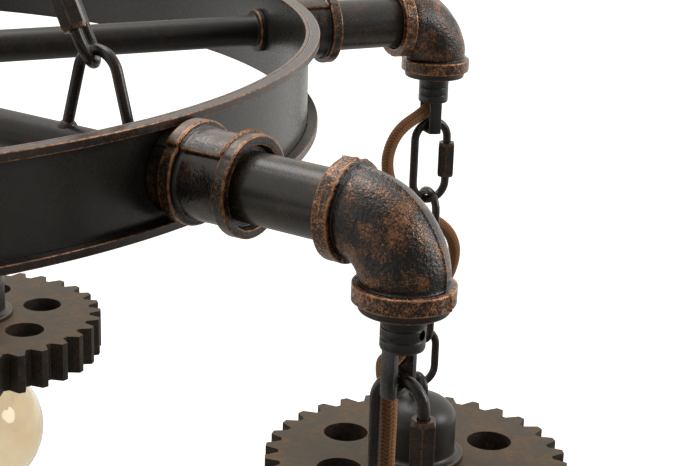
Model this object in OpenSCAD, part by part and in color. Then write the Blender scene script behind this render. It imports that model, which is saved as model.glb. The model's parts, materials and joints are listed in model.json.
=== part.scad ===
// Industrial chandelier: a channel ring hangs on three chains from a ceiling canopy.
// Six pipe arms carry gear shades with globe bulbs, each on a quick link, a chain and a cord.
// Millimetres, +Z up. The origin is at the ceiling, on the axis of the canopy.

/* [Ring] */
// Outer diameter over the flanges of the ring
ring_d = 546; // [500:1:620]
// Height of the ring
ring_h = 44; // [40:1:56]
// Thickness of each flange
flange_t = 3.6; // [2.5:0.1:4.5]
// How far the flanges stand out of the web
flange_out = 5; // [4:0.5:7]
// Thickness of the web of the ring
web_t = 1.6; // [1.2:0.1:3]

/* [Spokes and hub] */
// Outer diameter of the spoke tubes
spoke_d = 16; // [14:0.5:20]
// Wall of the spoke tubes
spoke_wall = 1.5; // [1:0.1:3]
// Diameter of the collar where a spoke meets the ring
spoke_collar_d = 22; // [21:0.5:28]
// Width of that collar
spoke_collar_w = 3; // [2:0.5:6]
// Diameter of the wiring hub in the middle
hub_d = 84; // [70:1:120]
// Height of the wiring hub
hub_h = 36; // [28:1:60]
// Wall of the wiring hub
hub_wall = 3; // [2:0.5:5]
// Thickness of the lid of the hub
lid_t = 3; // [2:0.5:6]
// Outer diameter of the supply inlet on the lid
inlet_d = 18; // [14:0.5:24]
// Bore of the supply inlet
inlet_bore = 9; // [6:0.5:12]
// Height of the supply inlet
inlet_h = 12; // [6:1:25]

/* [Pipe fittings] */
// Outer diameter of the pipe
pipe_d = 26.7; // [25:0.1:28]
// Wall of the pipe
pipe_wall = 2.9; // [2:0.1:3.5]
// Bare length of pipe between coupling and elbow
pipe_bare = 38; // [25:1:80]
// Length of a pipe end inside a fitting
thread_len = 11; // [8:0.5:12]
// Length of the coupling from the web of the ring
coupling_len = 38; // [34:1:60]
// Distance from the web to the inner collar of the coupling
collar_stand = 7.5; // [7.2:0.1:10]
// Diameter of the collars of the coupling
collar_d = 38.8; // [38:0.1:44]
// Width of the collars of the coupling
collar_w = 5.5; // [4:0.5:8]
// Diameter of the barrel of the coupling
barrel_d = 34; // [32:0.5:35]
// How far the upper half of the casting stands out of the lower half
half_step = 1.2; // [0.5:0.1:1.4]
// Diameter of the bands of the elbow
band_d = 37; // [35:0.1:42]
// Width of the bands of the elbow
band_w = 6.5; // [5:0.1:9]
// Diameter of the bend of the elbow
elbow_d = 32.6; // [31:0.1:34]
// Distance from the centre of the elbow to its end faces
elbow_reach = 28; // [26.5:0.5:40]
// Width of the parting ridge on the back of the elbow
seam_w = 1.4; // [0.8:0.1:3]
// Height of the parting ridge
seam_h = 0.7; // [0.3:0.1:1.5]

/* [Hang loops] */
// Diameter of the bushing disc under the elbow
bushing_d = 33; // [30:0.5:36]
// Thickness of the bushing disc
bushing_t = 3.5; // [1.5:0.1:5]
// Diameter of the neck of the hang loop
neck_d = 16.5; // [16:0.5:20]
// Height of the neck
neck_h = 14.5; // [12:0.5:25]
// Diameter of the yoke under the neck
yoke_d = 15.4; // [14.5:0.1:16]
// Distance from the axis to the inward flat of the yoke
yoke_back = 4.8; // [4:0.1:5.5]
// Distance from the axis to the outward flat of the yoke
yoke_front = 1.9; // [1.5:0.1:4.8]
// Width of the window through the yoke
window_w = 10; // [8.6:0.1:11]
// Height of the window
window_h = 14.5; // [14:0.5:20]
// Thickness of the bar under the window
lip_h = 3; // [2:0.1:3.5]
// Bore for the cord through the neck
cord_bore = 8.2; // [7.8:0.1:9]
// Diameter of the stud that screws into the bushing
stud_d = 12; // [11:0.1:14]
// Length of that stud
stud_len = 8; // [5:0.5:9]
// Diameter of the set screw hole in the neck
side_hole_d = 3.8; // [2:0.1:5]

/* [Quick links] */
// Wire of the quick links
ql_wire = 4.6; // [4:0.1:5]
// Outer length of the quick links
ql_len = 50; // [46:1:60]
// Outer width of the quick links
ql_w = 25; // [24.5:0.1:28]
// Width of the hex sleeve across its corners
ql_nut_d = 10.2; // [8:0.1:11]
// Length of the hex sleeve
ql_nut_len = 20; // [14:0.5:22]
// Opening of the hook that the sleeve closes
ql_open = 12; // [6:0.5:13]

/* [Chains] */
// Wire of the chain links
chain_wire = 4.5; // [3.5:0.1:5]
// Outer length of a chain link
chain_len = 37.6; // [34:0.1:42]
// Outer width of a chain link
chain_w = 24; // [22:0.5:28]
// Links above each gear shade
drop_links = 4; // [2:2:8]
// Links in each leg of the suspension
leg_links = 12; // [10:2:20]

/* [Lugs] */
// Wire of the lugs on the spokes
lug_wire = 4.6; // [4:0.1:5.5]
// Distance of the lugs from the axis
lug_r = 230; // [150:1:236]
// Spread of the feet of a lug
lug_w = 33; // [28:1:40]
// Height of the top of a lug over the middle of the ring
lug_rise = 40; // [34:1:60]
// Radius of the arch of a lug
lug_arch_r = 10; // [8:0.5:12]

/* [Canopy] */
// Diameter of the ceiling canopy
canopy_d = 130; // [124:1:180]
// Height of the ceiling canopy
canopy_h = 30; // [24:1:60]
// Wall of the ceiling canopy
canopy_wall = 1.2; // [0.8:0.1:2.5]
// Height of the straight rim of the canopy
canopy_rim_h = 5; // [3:0.5:12]
// Diameter of the flat bottom of the canopy
canopy_flat_d = 48; // [36:1:60]
// Length of the mounting bar
bar_len = 110; // [102:1:116]
// Width of the mounting bar
bar_w = 22; // [18:1:30]
// Thickness of the mounting bar
bar_t = 2.5; // [2:0.1:4]
// Distance between the two box screws
screw_spacing = 88.9; // [80:0.1:92]
// Diameter of the box screw holes
screw_hole_d = 5; // [4:0.1:6]
// Diameter of the threaded stem of the loop
stem_d = 10; // [8:0.1:13]
// Width of the stem nut across its corners
stem_nut_d = 18; // [17:0.5:22]
// Height of the stem nut
stem_nut_h = 6; // [4:0.5:8]
// Diameter of the collar that carries the canopy
loop_collar_d = 24; // [18:1:34]
// Height of that collar
loop_collar_h = 5; // [3:0.5:10]

/* [Top suspension] */
// Wire of the loops and the link at the top
top_wire = 6; // [5:0.1:8]
// Radius of the eyes at the top, to the middle of the wire
top_eye_r = 10; // [9.5:0.5:14]
// Outer length of the top link
top_link_len = 46; // [42:1:70]
// Outer width of the top link
top_link_w = 30; // [27:0.5:40]
// Radius of the ring that gathers the chains
top_ring_r = 32; // [30:1:50]
// Wire of that ring
top_ring_wire = 8; // [7.5:0.5:9]
// Diameter of the cross bar of that ring
top_bar_d = 7; // [6.2:0.1:7.3]

/* [Socket cups] */
// Outer diameter of the cup
cup_d = 45.6; // [45:0.1:56]
// Wall of the cup
cup_wall = 2.5; // [1.5:0.1:3]
// Height of the dome of the cup
dome_h = 15; // [12:0.5:20]
// Height of the straight part of the cup
cup_h = 24.5; // [20:0.5:60]
// Diameter of the base ring of the cup
cup_base_d = 56; // [53:0.5:70]
// Height of the base ring
cup_base_h = 3; // [2:0.5:6]
// Radius of the eye on the cup, to the middle of the wire
eye_r = 7; // [6.8:0.1:9]
// Wire of the eye
eye_wire = 4.5; // [4:0.1:5]
// Height of the middle of the eye over the dome
eye_stand = 4; // [2.5:0.1:5]
// Diameter of the cord gland on the dome
gland_d = 11; // [10:0.1:12]
// Sideways place of the gland on the dome, both ways
gland_side = 11; // [10.5:0.1:11.5]
// Room around the cord in the gland
gland_gap = 0.4; // [0.3:0.1:0.8]

/* [Gear shades] */
// Outer diameter over the teeth
gear_d = 180; // [165:1:220]
// Thickness of the gear
gear_h = 27; // [24:1:50]
// Number of teeth
gear_teeth = 32; // [24:1:40]
// Depth of the teeth
tooth_depth = 8; // [4:0.5:10]
// Room around the clamping ring, in the recess under the gear
recess_gap = 4; // [2:0.5:5]
// Thickness of the gear over the recess, where it is clamped
gear_plate = 3; // [2:0.5:6]
// Diameter of the holes
gear_hole_d = 27; // [15:0.5:30]
// Radius of the circle of holes
gear_hole_r = 50.5; // [46:0.5:56]
// Number of holes
gear_holes = 6; // [4:1:6]

/* [Lampholders and bulbs] */
// Height of the lampholder over the gear plate
holder_up = 19; // [14:1:20]
// Length of the lampholder under the top of the gear plate
holder_down = 18; // [14:1:30]
// Outer diameter of the shade ring that clamps the gear
shade_ring_d = 54; // [48:1:66]
// Height of the shade ring
shade_ring_h = 5; // [3:0.5:8]
// Diameter of the globe bulb
bulb_d = 95; // [80:1:125]
// Length of the bulb with its cap
bulb_len = 139; // [130:1:170]
// Diameter of the bulb cap
cap_d = 26; // [24:0.1:27]
// Length of the bulb cap
cap_h = 22; // [16:0.5:25]
// Thickness of the glass
glass_t = 1; // [0.6:0.1:1.5]

/* [Cords] */
// Diameter of the braided cords
cord_d = 7; // [5:0.1:7]

/* [Fits] */
// Clearance between threaded pieces, on the radius
thread_gap = 0.15; // [0.05:0.01:0.3]
// Clearance where one moving piece rests on another
seat_gap = 0.3; // [0.2:0.05:0.5]
// Clearance between neighbouring chain links
chain_gap = 0.2; // [0.1:0.05:0.4]
// Clearance between welded pieces
weld_gap = 0.1; // [0.05:0.01:0.2]

/* [Hidden] */
ARMS = 6;
LUGS = 3;
FIXED = ["mounting_bar", "ceiling_canopy", "canopy_loop", "top_link", "top_ring",
         "suspension_links", "suspension_chains", "lugs", "ring_web", "ring_flanges",
         "spokes", "centre_hub", "hub_lid", "couplings", "pipe_nipples", "elbows",
         "bushings", "hang_loops"];
HANGING = ["quick_link", "chain", "socket_cup", "gear_shade", "lampholder", "bulb", "cord"];
$fn = 48;

// Extra length of a cutting tool past a face
past = 1;
// Turn of the teeth against the holes of a gear
tooth_turn = 3;
// Angle of one arm's sector
arm_turn = 360 / ARMS;
// Turn of the lower quick links about their legs, which fades towards the top
leg_twist = 33;
// Direction of the cross bar of the top ring, between two legs
top_bar_turn = 30;
// Turn of the parting plane of a coupling about its axis
parting_turn = 45;
// Height of the funnel at the foot of the cord's bore
funnel_h = 2.5;
// Grooves in the neck of a hang loop: share of the neck above them, depth and width
groove_shares = [0.4, 0.7];
groove_depth = 0.35;
groove_w = 0.5;
// Share of the neck above its set screw hole
side_hole_share = 0.55;
// How much thinner the arch of a lug is than its legs
lug_slack = 0.1;
// Taper at the foot of the neck
neck_taper = 1;
// Shares of the tooth pitch at the root and at the tip of a tooth
root_share = 0.38;
tip_share = 0.13;
// Facets of the domes and of the cords
dome_steps = 10;
cord_sides = 8;

// Ring and arms, from the axis outwards
web_r = ring_d / 2 - flange_out;
web_in_r = web_r - web_t;
pipe_bore = pipe_d - 2 * pipe_wall;
spoke_bore = spoke_d - 2 * spoke_wall;
coupling_end = web_r + coupling_len;
elbow_start = coupling_end + pipe_bare;
arm_r = elbow_start + elbow_reach;
bend_r = elbow_reach - band_w;

// Heights of the top suspension, under the ceiling
loop_eye_z = -canopy_h - loop_collar_h - top_eye_r - top_wire / 2 - past;
top_link_z = loop_eye_z - top_eye_r + top_wire + seat_gap - (top_link_len - top_wire) / 2;
top_ring_eye_z = top_link_z - (top_link_len - top_wire) / 2 + top_wire + seat_gap - top_eye_r;
top_ring_z = top_ring_eye_z - top_eye_r;

// One leg of the suspension, measured along the leg from the middle of the lug's arch
ql_span = ql_len - ql_wire;
chain_span = chain_len - chain_wire;
chain_step = chain_span - chain_wire - chain_gap;
ql_chain_step = (ql_wire + chain_wire) / 2 + chain_gap;
leg_ql_low = lug_arch_r - (ql_wire + lug_wire) / 2 - chain_gap;
leg_chain_low = leg_ql_low + ql_span - ql_chain_step;
leg_ql_high = leg_chain_low + (leg_links - 1) * chain_step + chain_span - ql_chain_step;
leg_top = leg_ql_high + ql_span - (ql_wire + top_ring_wire) / 2 - chain_gap;
leg_run = lug_r - top_ring_r;
leg_rise = sqrt(leg_top * leg_top - leg_run * leg_run);
leg_lean = atan2(leg_run, leg_rise);
lug_arch_z = top_ring_z - leg_rise;
ring_z = lug_arch_z - lug_rise + lug_arch_r;

// A pendant, under the middle of the ring, on the axis of its elbow
band_z = -elbow_reach;
neck_z = band_z - bushing_t;
window_z = neck_z - neck_h;
lip_z = window_z - window_h;
yoke_z = lip_z - lip_h;
ql_bow_r = (ql_w - ql_wire) / 2;
ql_top_z = lip_z + seat_gap + ql_wire / 2;
ql_bow_z = ql_top_z - ql_bow_r;
ql_mid_z = ql_top_z - ql_span / 2;
chain_top_z = ql_top_z - ql_span + (ql_wire + chain_wire) / 2 + seat_gap;
chain_low_z = chain_top_z - chain_span - (drop_links - 1) * chain_step;
eye_z = chain_low_z + (chain_wire + eye_wire) / 2 + chain_gap - eye_r;
dome_z = eye_z - eye_stand;
cup_z = dome_z - dome_h - cup_h;
cup_in_r = cup_d / 2 - cup_wall;
holder_r = cup_in_r - seat_gap;
holder_low_z = cup_z - holder_down;
cap_top_z = holder_low_z + cap_h;
bulb_z = cap_top_z - bulb_len + bulb_d / 2;
gland_top_z = dome_z - 1;

// Cord routes of the odd and the even arms: outwards along the arm, sideways, and height
// over the middle of the ring. They start in the neck and end inside the socket cup.
CORD_CLOSE = [[0, 0, -36], [0, 0, -39], [0, 0, -42], [-0.4, 0, -44.4], [-1.7, 0.1, -47.7],
              [-4.6, 0.7, -51.4], [-7.2, 2, -53.7], [-8.9, 3.5, -55.7], [-10.9, 6.7, -60.8],
              [-10.9, 8.7, -66.6], [-10.1, 8.5, -76], [-10.5, 9, -88], [-10.8, 9.5, -100],
              [-11, 10.4, -112], [-11, 12, -124], [-9.5, 14, -137], [-5, 16.5, -151],
              [0, 17.5, -165], [5, 17, -179], [9, 14.5, -193], [11, 12, -206],
              [11, 11, -216], [11, 11, -226], [11, 11, -236]];
CORD_BOWED = [[0, 0, -36], [0, 0, -40.5], [-0.5, 0, -44.6], [-2, 0, -48.1], [-4.4, 0, -51],
              [-7.7, 0, -53.4], [-12, 0, -55.9], [-17.3, 0, -59.2], [-22, 0, -64],
              [-25.4, 0, -70.6], [-27, 0, -78.5], [-25.8, 0, -87.5], [-21.5, 0, -96],
              [-15, 0, -103.5], [-7, 0, -110], [1.5, 0, -115], [9.7, 0.2, -120],
              [16.5, 0.9, -127.5], [20.4, 2.4, -137.5], [20.2, 5.4, -150], [16.6, 10, -162.5],
              [10, 14.5, -174], [2.2, 16.8, -184.5], [-4.8, 16, -195], [-9.2, 13.4, -205.5],
              [-10.8, 11.4, -216], [-11, 11, -226], [-11, 11, -236]];

// A round bar along X, from a to b
module bar_x(a, b, d) {
    translate([a, 0, 0]) rotate([0, 90, 0]) cylinder(d = d, h = b - a);
}

// A tube profile turned round Z: points from the middle outwards
module turned(points) {
    rotate_extrude() polygon(points);
}

// An oval wire link in the XZ plane, round its own middle
module oval_link(len, width, wire) {
    bow_r = (width - wire) / 2;
    straight = len - width;
    for (side = [90, -90])
        translate([0, 0, sign(side) * straight / 2]) rotate([side, 0, 0])
            rotate_extrude(angle = 180) translate([bow_r, 0]) circle(d = wire);
    for (x = [-bow_r, bow_r])
        translate([x, 0, 0]) cylinder(d = wire, h = straight, center = true);
}

// A wire ring in the XZ plane
module wire_ring(r, wire) {
    rotate([90, 0, 0]) rotate_extrude() translate([r, 0]) circle(d = wire);
}

// A hook that a hex sleeve closes, in the XZ plane, with the sleeve at +X
module quick_link() {
    nut_flat_r = ql_nut_d / 2 * cos(30);
    nut_edge = (ql_nut_d / 2 - nut_flat_r) * 1.2;
    difference() {
        oval_link(ql_len, ql_w, ql_wire);
        translate([ql_bow_r, 0, 0]) cube([2 * ql_wire, 2 * ql_wire, ql_open], center = true);
    }
    translate([ql_bow_r, 0, 0]) difference() {
        intersection() {
            cylinder(d = ql_nut_d, h = ql_nut_len, center = true, $fn = 6);
            turned([[0, -ql_nut_len / 2], [nut_flat_r - nut_edge / 2, -ql_nut_len / 2],
                    [ql_nut_d / 2 + nut_edge, -ql_nut_len / 2 + 3 * nut_edge],
                    [ql_nut_d / 2 + nut_edge, ql_nut_len / 2 - 3 * nut_edge],
                    [nut_flat_r - nut_edge / 2, ql_nut_len / 2], [0, ql_nut_len / 2]]);
        }
        cylinder(d = ql_wire + 2 * thread_gap, h = ql_nut_len + past, center = true);
    }
}

// Places a piece on the ring's middle plane, with +X along arm k
module on_arm(k) {
    rotate([0, 0, (k - 1) * arm_turn]) translate([0, 0, ring_z]) children();
}

// Places a piece on the upright axis of elbow k
module under_arm(k) {
    on_arm(k) translate([arm_r, 0, 0]) children();
}

// Places a piece on leg k, with +Z up the leg from the middle of the lug's arch
module on_leg(k) {
    rotate([0, 0, k * 360 / LUGS]) translate([lug_r, 0, lug_arch_z])
        rotate([0, -leg_lean, 0]) children();
}

// Turn of a link about its leg, a quarter turn from its neighbours, from 0 at the lug
function leg_turn(i) = -90 * ((i + 1) % 2) + leg_twist * (1 - i / (leg_links + 1));

module mounting_bar() {
    color("silver") difference() {
        translate([-bar_len / 2, -bar_w / 2, -bar_t]) cube([bar_len, bar_w, bar_t]);
        for (x = [-screw_spacing / 2, screw_spacing / 2])
            translate([x, 0, -bar_t - past]) cylinder(d = screw_hole_d, h = bar_t + 2 * past);
        translate([0, 0, -bar_t - past])
            cylinder(d = stem_d + 2 * thread_gap, h = bar_t + 2 * past);
    }
}

module ceiling_canopy() {
    hole_r = stem_d / 2 + thread_gap;
    rim_r = canopy_d / 2;
    flat_r = canopy_flat_d / 2;
    color("#33281f") turned([[rim_r - canopy_wall, 0], [rim_r, 0], [rim_r, -canopy_rim_h],
                             [flat_r, -canopy_h], [hole_r, -canopy_h],
                             [hole_r, -canopy_h + canopy_wall],
                             [flat_r - canopy_wall / 2, -canopy_h + canopy_wall],
                             [rim_r - canopy_wall, -canopy_rim_h + canopy_wall / 2]]);
}

// Threaded stem with its collar and eye, and the nut that holds the bar
module canopy_loop() {
    color("#2a211b") {
        translate([0, 0, -canopy_h]) cylinder(d = stem_d, h = canopy_h);
        translate([0, 0, -canopy_h - loop_collar_h]) cylinder(d = loop_collar_d, h = loop_collar_h);
        translate([0, 0, loop_eye_z + top_eye_r])
            cylinder(d = stem_d, h = -canopy_h - loop_collar_h - loop_eye_z - top_eye_r);
        translate([0, 0, loop_eye_z]) wire_ring(top_eye_r, top_wire);
        translate([0, 0, -bar_t - stem_nut_h]) difference() {
            cylinder(d = stem_nut_d, h = stem_nut_h, $fn = 6);
            translate([0, 0, -past]) cylinder(d = stem_d + 2 * thread_gap, h = stem_nut_h + 2 * past);
        }
    }
}

module top_link() {
    color("#2a211b") translate([0, 0, top_link_z]) rotate([0, 0, 90])
        oval_link(top_link_len, top_link_w, top_wire);
}

// Flat ring with a cross bar and an eye, which gathers the three legs
module top_ring() {
    color("#2a211b") {
        translate([0, 0, top_ring_z]) rotate_extrude()
            translate([top_ring_r, 0]) circle(d = top_ring_wire);
        translate([0, 0, top_ring_z]) rotate([0, 0, top_bar_turn])
            bar_x(-top_ring_r, top_ring_r, top_bar_d);
        translate([0, 0, top_ring_eye_z]) wire_ring(top_eye_r, top_wire);
    }
}

// Quick links at the lugs and at the top ring
module suspension_links() {
    color("#3a2a20") for (k = [0:LUGS - 1]) on_leg(k) {
        translate([0, 0, leg_ql_low + ql_span / 2]) rotate([0, 0, leg_turn(0)]) quick_link();
        translate([0, 0, leg_ql_high + ql_span / 2]) rotate([0, 0, leg_turn(leg_links + 1)])
            quick_link();
    }
}

module suspension_chains() {
    color("#3a2a20") for (k = [0:LUGS - 1]) on_leg(k)
        for (i = [0:leg_links - 1])
            translate([0, 0, leg_chain_low + chain_span / 2 + i * chain_step])
                rotate([0, 0, leg_turn(i + 1)]) oval_link(chain_len, chain_w, chain_wire);
}

// Bent wire lugs that stand on every other spoke
module lugs() {
    foot_drop = lug_rise - lug_arch_r - spoke_d / 2;
    foot_dist = norm([lug_w / 2, foot_drop]);
    leg_angle = acos(lug_arch_r / foot_dist) - atan2(foot_drop, lug_w / 2);
    leg_len = sqrt(foot_dist * foot_dist - lug_arch_r * lug_arch_r) + spoke_d / 2;
    color("#3a2a20") for (k = [0:LUGS - 1]) rotate([0, 0, k * 360 / LUGS]) difference() {
        translate([lug_r, 0, lug_arch_z]) {
            rotate([90, 0, 0]) rotate([0, 0, leg_angle])
                rotate_extrude(angle = 180 - 2 * leg_angle)
                    translate([lug_arch_r, 0]) circle(d = lug_wire - lug_slack);
            for (side = [-1, 1])
                translate([side * lug_arch_r * cos(leg_angle), 0, lug_arch_r * sin(leg_angle)])
                    rotate([0, 180 - side * leg_angle, 0]) translate([0, 0, -2 * lug_slack])
                        cylinder(d = lug_wire, h = leg_len + 2 * lug_slack);
        }
        translate([0, 0, ring_z]) bar_x(lug_r - lug_w, lug_r + lug_w, spoke_d + 2 * weld_gap);
    }
}

module ring_web() {
    color("#241d19") translate([0, 0, ring_z]) difference() {
        cylinder(r = web_r, h = ring_h, center = true, $fn = 180);
        cylinder(r = web_in_r, h = ring_h + past, center = true, $fn = 180);
        for (k = [1:ARMS]) rotate([0, 0, (k - 1) * arm_turn])
            bar_x(web_in_r - past, web_r + past, spoke_bore);
    }
}

module ring_flanges() {
    color("#3b2d24") for (z = [-ring_h / 2, ring_h / 2 - flange_t])
        translate([0, 0, ring_z + z]) difference() {
            cylinder(d = ring_d, h = flange_t, $fn = 180);
            translate([0, 0, -past]) cylinder(r = web_r + weld_gap, h = flange_t + 2 * past, $fn = 180);
        }
}

// Spoke tubes with a collar against the ring
module spokes() {
    color("#2b221d") for (k = [1:ARMS]) on_arm(k) difference() {
        union() {
            bar_x(hub_d / 2 - hub_wall, web_in_r, spoke_d);
            bar_x(web_in_r - spoke_collar_w, web_in_r, spoke_collar_d);
        }
        bar_x(0, web_in_r + past, spoke_bore);
        difference() {
            cylinder(r = web_in_r + 2 * spoke_d, h = 2 * spoke_d, center = true);
            cylinder(r = web_in_r - weld_gap, h = 2 * spoke_d + past, center = true);
        }
    }
}

// Round wiring box in the middle, open at the top
module centre_hub() {
    color("#2b221d") translate([0, 0, ring_z]) difference() {
        translate([0, 0, -hub_h / 2]) cylinder(d = hub_d, h = hub_h);
        translate([0, 0, hub_wall - hub_h / 2]) cylinder(d = hub_d - 2 * hub_wall, h = hub_h);
        for (k = [1:ARMS]) rotate([0, 0, (k - 1) * arm_turn])
            bar_x(hub_d / 4, hub_d, spoke_d + 2 * weld_gap);
    }
}

// Lid of the wiring box, with the supply inlet
module hub_lid() {
    color("#2b221d") translate([0, 0, ring_z + hub_h / 2]) difference() {
        union() {
            cylinder(d = hub_d, h = lid_t);
            translate([0, 0, lid_t]) cylinder(d = inlet_d, h = inlet_h);
        }
        translate([0, 0, -past]) cylinder(d = inlet_bore, h = lid_t + inlet_h + 2 * past);
    }
}

// Cast couplings that stand on the web of the ring, with a step where their halves meet
module couplings() {
    collar_r = web_r + collar_stand;
    color("#3d2a1e") for (k = [1:ARMS]) on_arm(k) difference() {
        union() {
            bar_x(web_in_r, coupling_end, barrel_d);
            bar_x(collar_r, collar_r + collar_w, collar_d);
            bar_x(coupling_end - collar_w, coupling_end, collar_d);
            rotate([-parting_turn, 0, 0]) intersection() {
                bar_x(collar_r, coupling_end - collar_w / 2, barrel_d + 2 * half_step);
                translate([collar_r, -collar_d / 2, 0]) cube([coupling_len, collar_d, collar_d / 2]);
            }
        }
        bar_x(web_in_r - past, coupling_end, pipe_bore);
        bar_x(coupling_end - thread_len, coupling_end + past, pipe_d + 2 * thread_gap);
        cylinder(r = web_r + weld_gap, h = 2 * collar_d, center = true, $fn = 180);
    }
}

module pipe_nipples() {
    color("#241d19") for (k = [1:ARMS]) on_arm(k) difference() {
        bar_x(coupling_end - thread_len, elbow_start + thread_len, pipe_d);
        bar_x(coupling_end - thread_len - past, elbow_start + thread_len + past, pipe_bore);
    }
}

// A quarter of a ring tube from the arm down to the pendant
module bend(d) {
    translate([arm_r - bend_r, 0, -bend_r]) rotate([90, 0, 0])
        rotate_extrude(angle = 90) translate([bend_r, 0]) circle(d = d);
}

// Cast elbows with a band at each end and a parting ridge on the back
module elbows() {
    color("#3d2a1e") for (k = [1:ARMS]) on_arm(k) difference() {
        union() {
            bend(elbow_d);
            bar_x(elbow_start, elbow_start + band_w, band_d);
            translate([arm_r, 0, band_z]) cylinder(d = band_d, h = band_w);
            translate([arm_r - bend_r, 0, -bend_r]) rotate([90, 0, 0]) rotate_extrude(angle = 90)
                translate([bend_r + elbow_d / 2 - seam_h, -seam_w / 2]) square([2 * seam_h, seam_w]);
        }
        bend(pipe_bore);
        bar_x(elbow_start - past, elbow_start + thread_len, pipe_d + 2 * thread_gap);
        translate([arm_r, 0, band_z - past])
            cylinder(d = pipe_d + 2 * thread_gap, h = thread_len + past);
    }
}

// Bushings that close the elbows from below
module bushings() {
    spigot_len = thread_len - past;
    color("#241d19") for (k = [1:ARMS]) under_arm(k) difference() {
        union() {
            translate([0, 0, neck_z]) cylinder(d = bushing_d, h = bushing_t);
            translate([0, 0, band_z]) cylinder(d = pipe_d, h = spigot_len);
        }
        translate([0, 0, neck_z - past])
            cylinder(d = stud_d + 2 * thread_gap, h = bushing_t + spigot_len + 2 * past);
    }
}

// Turned necks with a windowed yoke that carries a quick link and lets the cord out
module hang_loops() {
    color("#231d1a") for (k = [1:ARMS]) under_arm(k) difference() {
        union() {
            turned([[0, neck_z], [neck_d / 2, neck_z], [neck_d / 2, window_z + neck_taper],
                    [yoke_d / 2, window_z], [0, window_z]]);
            translate([0, 0, neck_z]) cylinder(d = stud_d, h = stud_len);
            intersection() {
                translate([0, 0, yoke_z]) cylinder(d = yoke_d, h = window_z - yoke_z);
                translate([-yoke_back, -yoke_d, yoke_z])
                    cube([yoke_back + yoke_front, 2 * yoke_d, window_z - yoke_z]);
            }
        }
        translate([0, 0, window_z]) cylinder(d = cord_bore, h = neck_h + stud_len + past);
        translate([0, 0, window_z]) cylinder(d1 = cord_bore + 2, d2 = cord_bore, h = funnel_h);
        yoke_window();
        for (share = groove_shares) translate([0, 0, neck_z - share * neck_h]) difference() {
            cylinder(d = neck_d + past, h = groove_w, center = true);
            cylinder(d = neck_d - 2 * groove_depth, h = groove_w + past, center = true);
        }
        translate([0, 0, neck_z - side_hole_share * neck_h]) bar_x(0, neck_d, side_hole_d);
    }
}

// The window of a yoke, with a floor rounded to the bow of the quick link
module yoke_window() {
    bow_room = ql_bow_r - ql_wire / 2 - seat_gap;
    intersection() {
        translate([-neck_d, -window_w / 2, yoke_z - past])
            cube([2 * neck_d, window_w, window_z - yoke_z + past]);
        difference() {
            translate([-neck_d, -window_w, yoke_z - past])
                cube([2 * neck_d, 2 * window_w, window_z - yoke_z + past]);
            translate([0, 0, ql_bow_z]) rotate([90, 0, 0])
                cylinder(r = bow_room, h = 3 * window_w, center = true);
        }
    }
}

module quick_link_on(k) {
    color("#3a2a20") under_arm(k) translate([0, 0, ql_mid_z]) quick_link();
}

module chain_on(k) {
    color("#3a2a20") under_arm(k) for (i = [0:drop_links - 1])
        translate([0, 0, chain_top_z - chain_span / 2 - i * chain_step])
            rotate([0, 0, 90 * ((i + 1) % 2)]) oval_link(chain_len, chain_w, chain_wire);
}

// Half outline of a dome and its cup, from the crown down
function dome_points(r, rise, base) =
    [for (i = [0:dome_steps]) [r * sin(90 * i / dome_steps), base + rise * cos(90 * i / dome_steps)]];

// Domed cup with a base ring, a chain eye and a gland on the side where the cord comes down
module socket_cup_on(k) {
    dome_base = dome_z - dome_h;
    gland_u = k % 2 == 1 ? gland_side : -gland_side;
    color("#2e2822") under_arm(k) difference() {
        union() {
            turned(concat(dome_points(cup_d / 2, dome_h, dome_base),
                          [[cup_d / 2, cup_z + cup_base_h], [cup_base_d / 2, cup_z + cup_base_h],
                           [cup_base_d / 2, cup_z], [0, cup_z]]));
            translate([0, 0, eye_z]) rotate([0, 0, 90]) wire_ring(eye_r, eye_wire);
            translate([gland_u, gland_side, dome_base])
                cylinder(d = gland_d, h = gland_top_z - dome_base);
        }
        turned(concat(dome_points(cup_in_r, dome_h - cup_wall, dome_base),
                      [[cup_in_r, cup_z - past], [0, cup_z - past]]));
        translate([gland_u, gland_side, dome_base - past])
            cylinder(d = cord_d + 2 * gland_gap, h = dome_h + 2 * past);
    }
}

// Outline of the gear, four points to a tooth
function gear_points() =
    let (tip_r = gear_d / 2, root_r = gear_d / 2 - tooth_depth, pitch = 360 / gear_teeth)
    [for (i = [0:gear_teeth - 1])
        for (p = [[root_r, -root_share], [tip_r, -tip_share], [tip_r, tip_share], [root_r, root_share]])
            let (turn = (i + p[1]) * pitch + tooth_turn) [p[0] * cos(turn), p[0] * sin(turn)]];

// Gear-shaped shade: a thick toothed wheel, with holes right through and a recess for the lamp below
module gear_shade_on(k) {
    recess_r = shade_ring_d / 2 + recess_gap;
    color("#5f584e") under_arm(k) translate([0, 0, cup_z - gear_h]) difference() {
        linear_extrude(gear_h) polygon(gear_points());
        translate([0, 0, -past]) cylinder(r = recess_r, h = gear_h - gear_plate + past);
        for (i = [0:gear_holes - 1]) rotate([0, 0, i * 360 / gear_holes])
            translate([gear_hole_r, 0, -past]) cylinder(d = gear_hole_d, h = gear_h + 2 * past);
        cylinder(r = holder_r + seat_gap, h = gear_h + past);
    }
}

// Lampholder, and the ring that clamps the gear against the cup
module lampholder_on(k) {
    color("#1d1a18") under_arm(k) {
        translate([0, 0, holder_low_z]) difference() {
            cylinder(r = holder_r, h = holder_up + holder_down);
            translate([0, 0, -past])
                cylinder(d = cap_d + 2 * thread_gap, h = cap_h + seat_gap + past);
        }
        translate([0, 0, cup_z - gear_plate - shade_ring_h]) difference() {
            cylinder(d = shade_ring_d, h = shade_ring_h);
            translate([0, 0, -past]) cylinder(r = holder_r + thread_gap, h = shade_ring_h + 2 * past);
        }
    }
}

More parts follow.
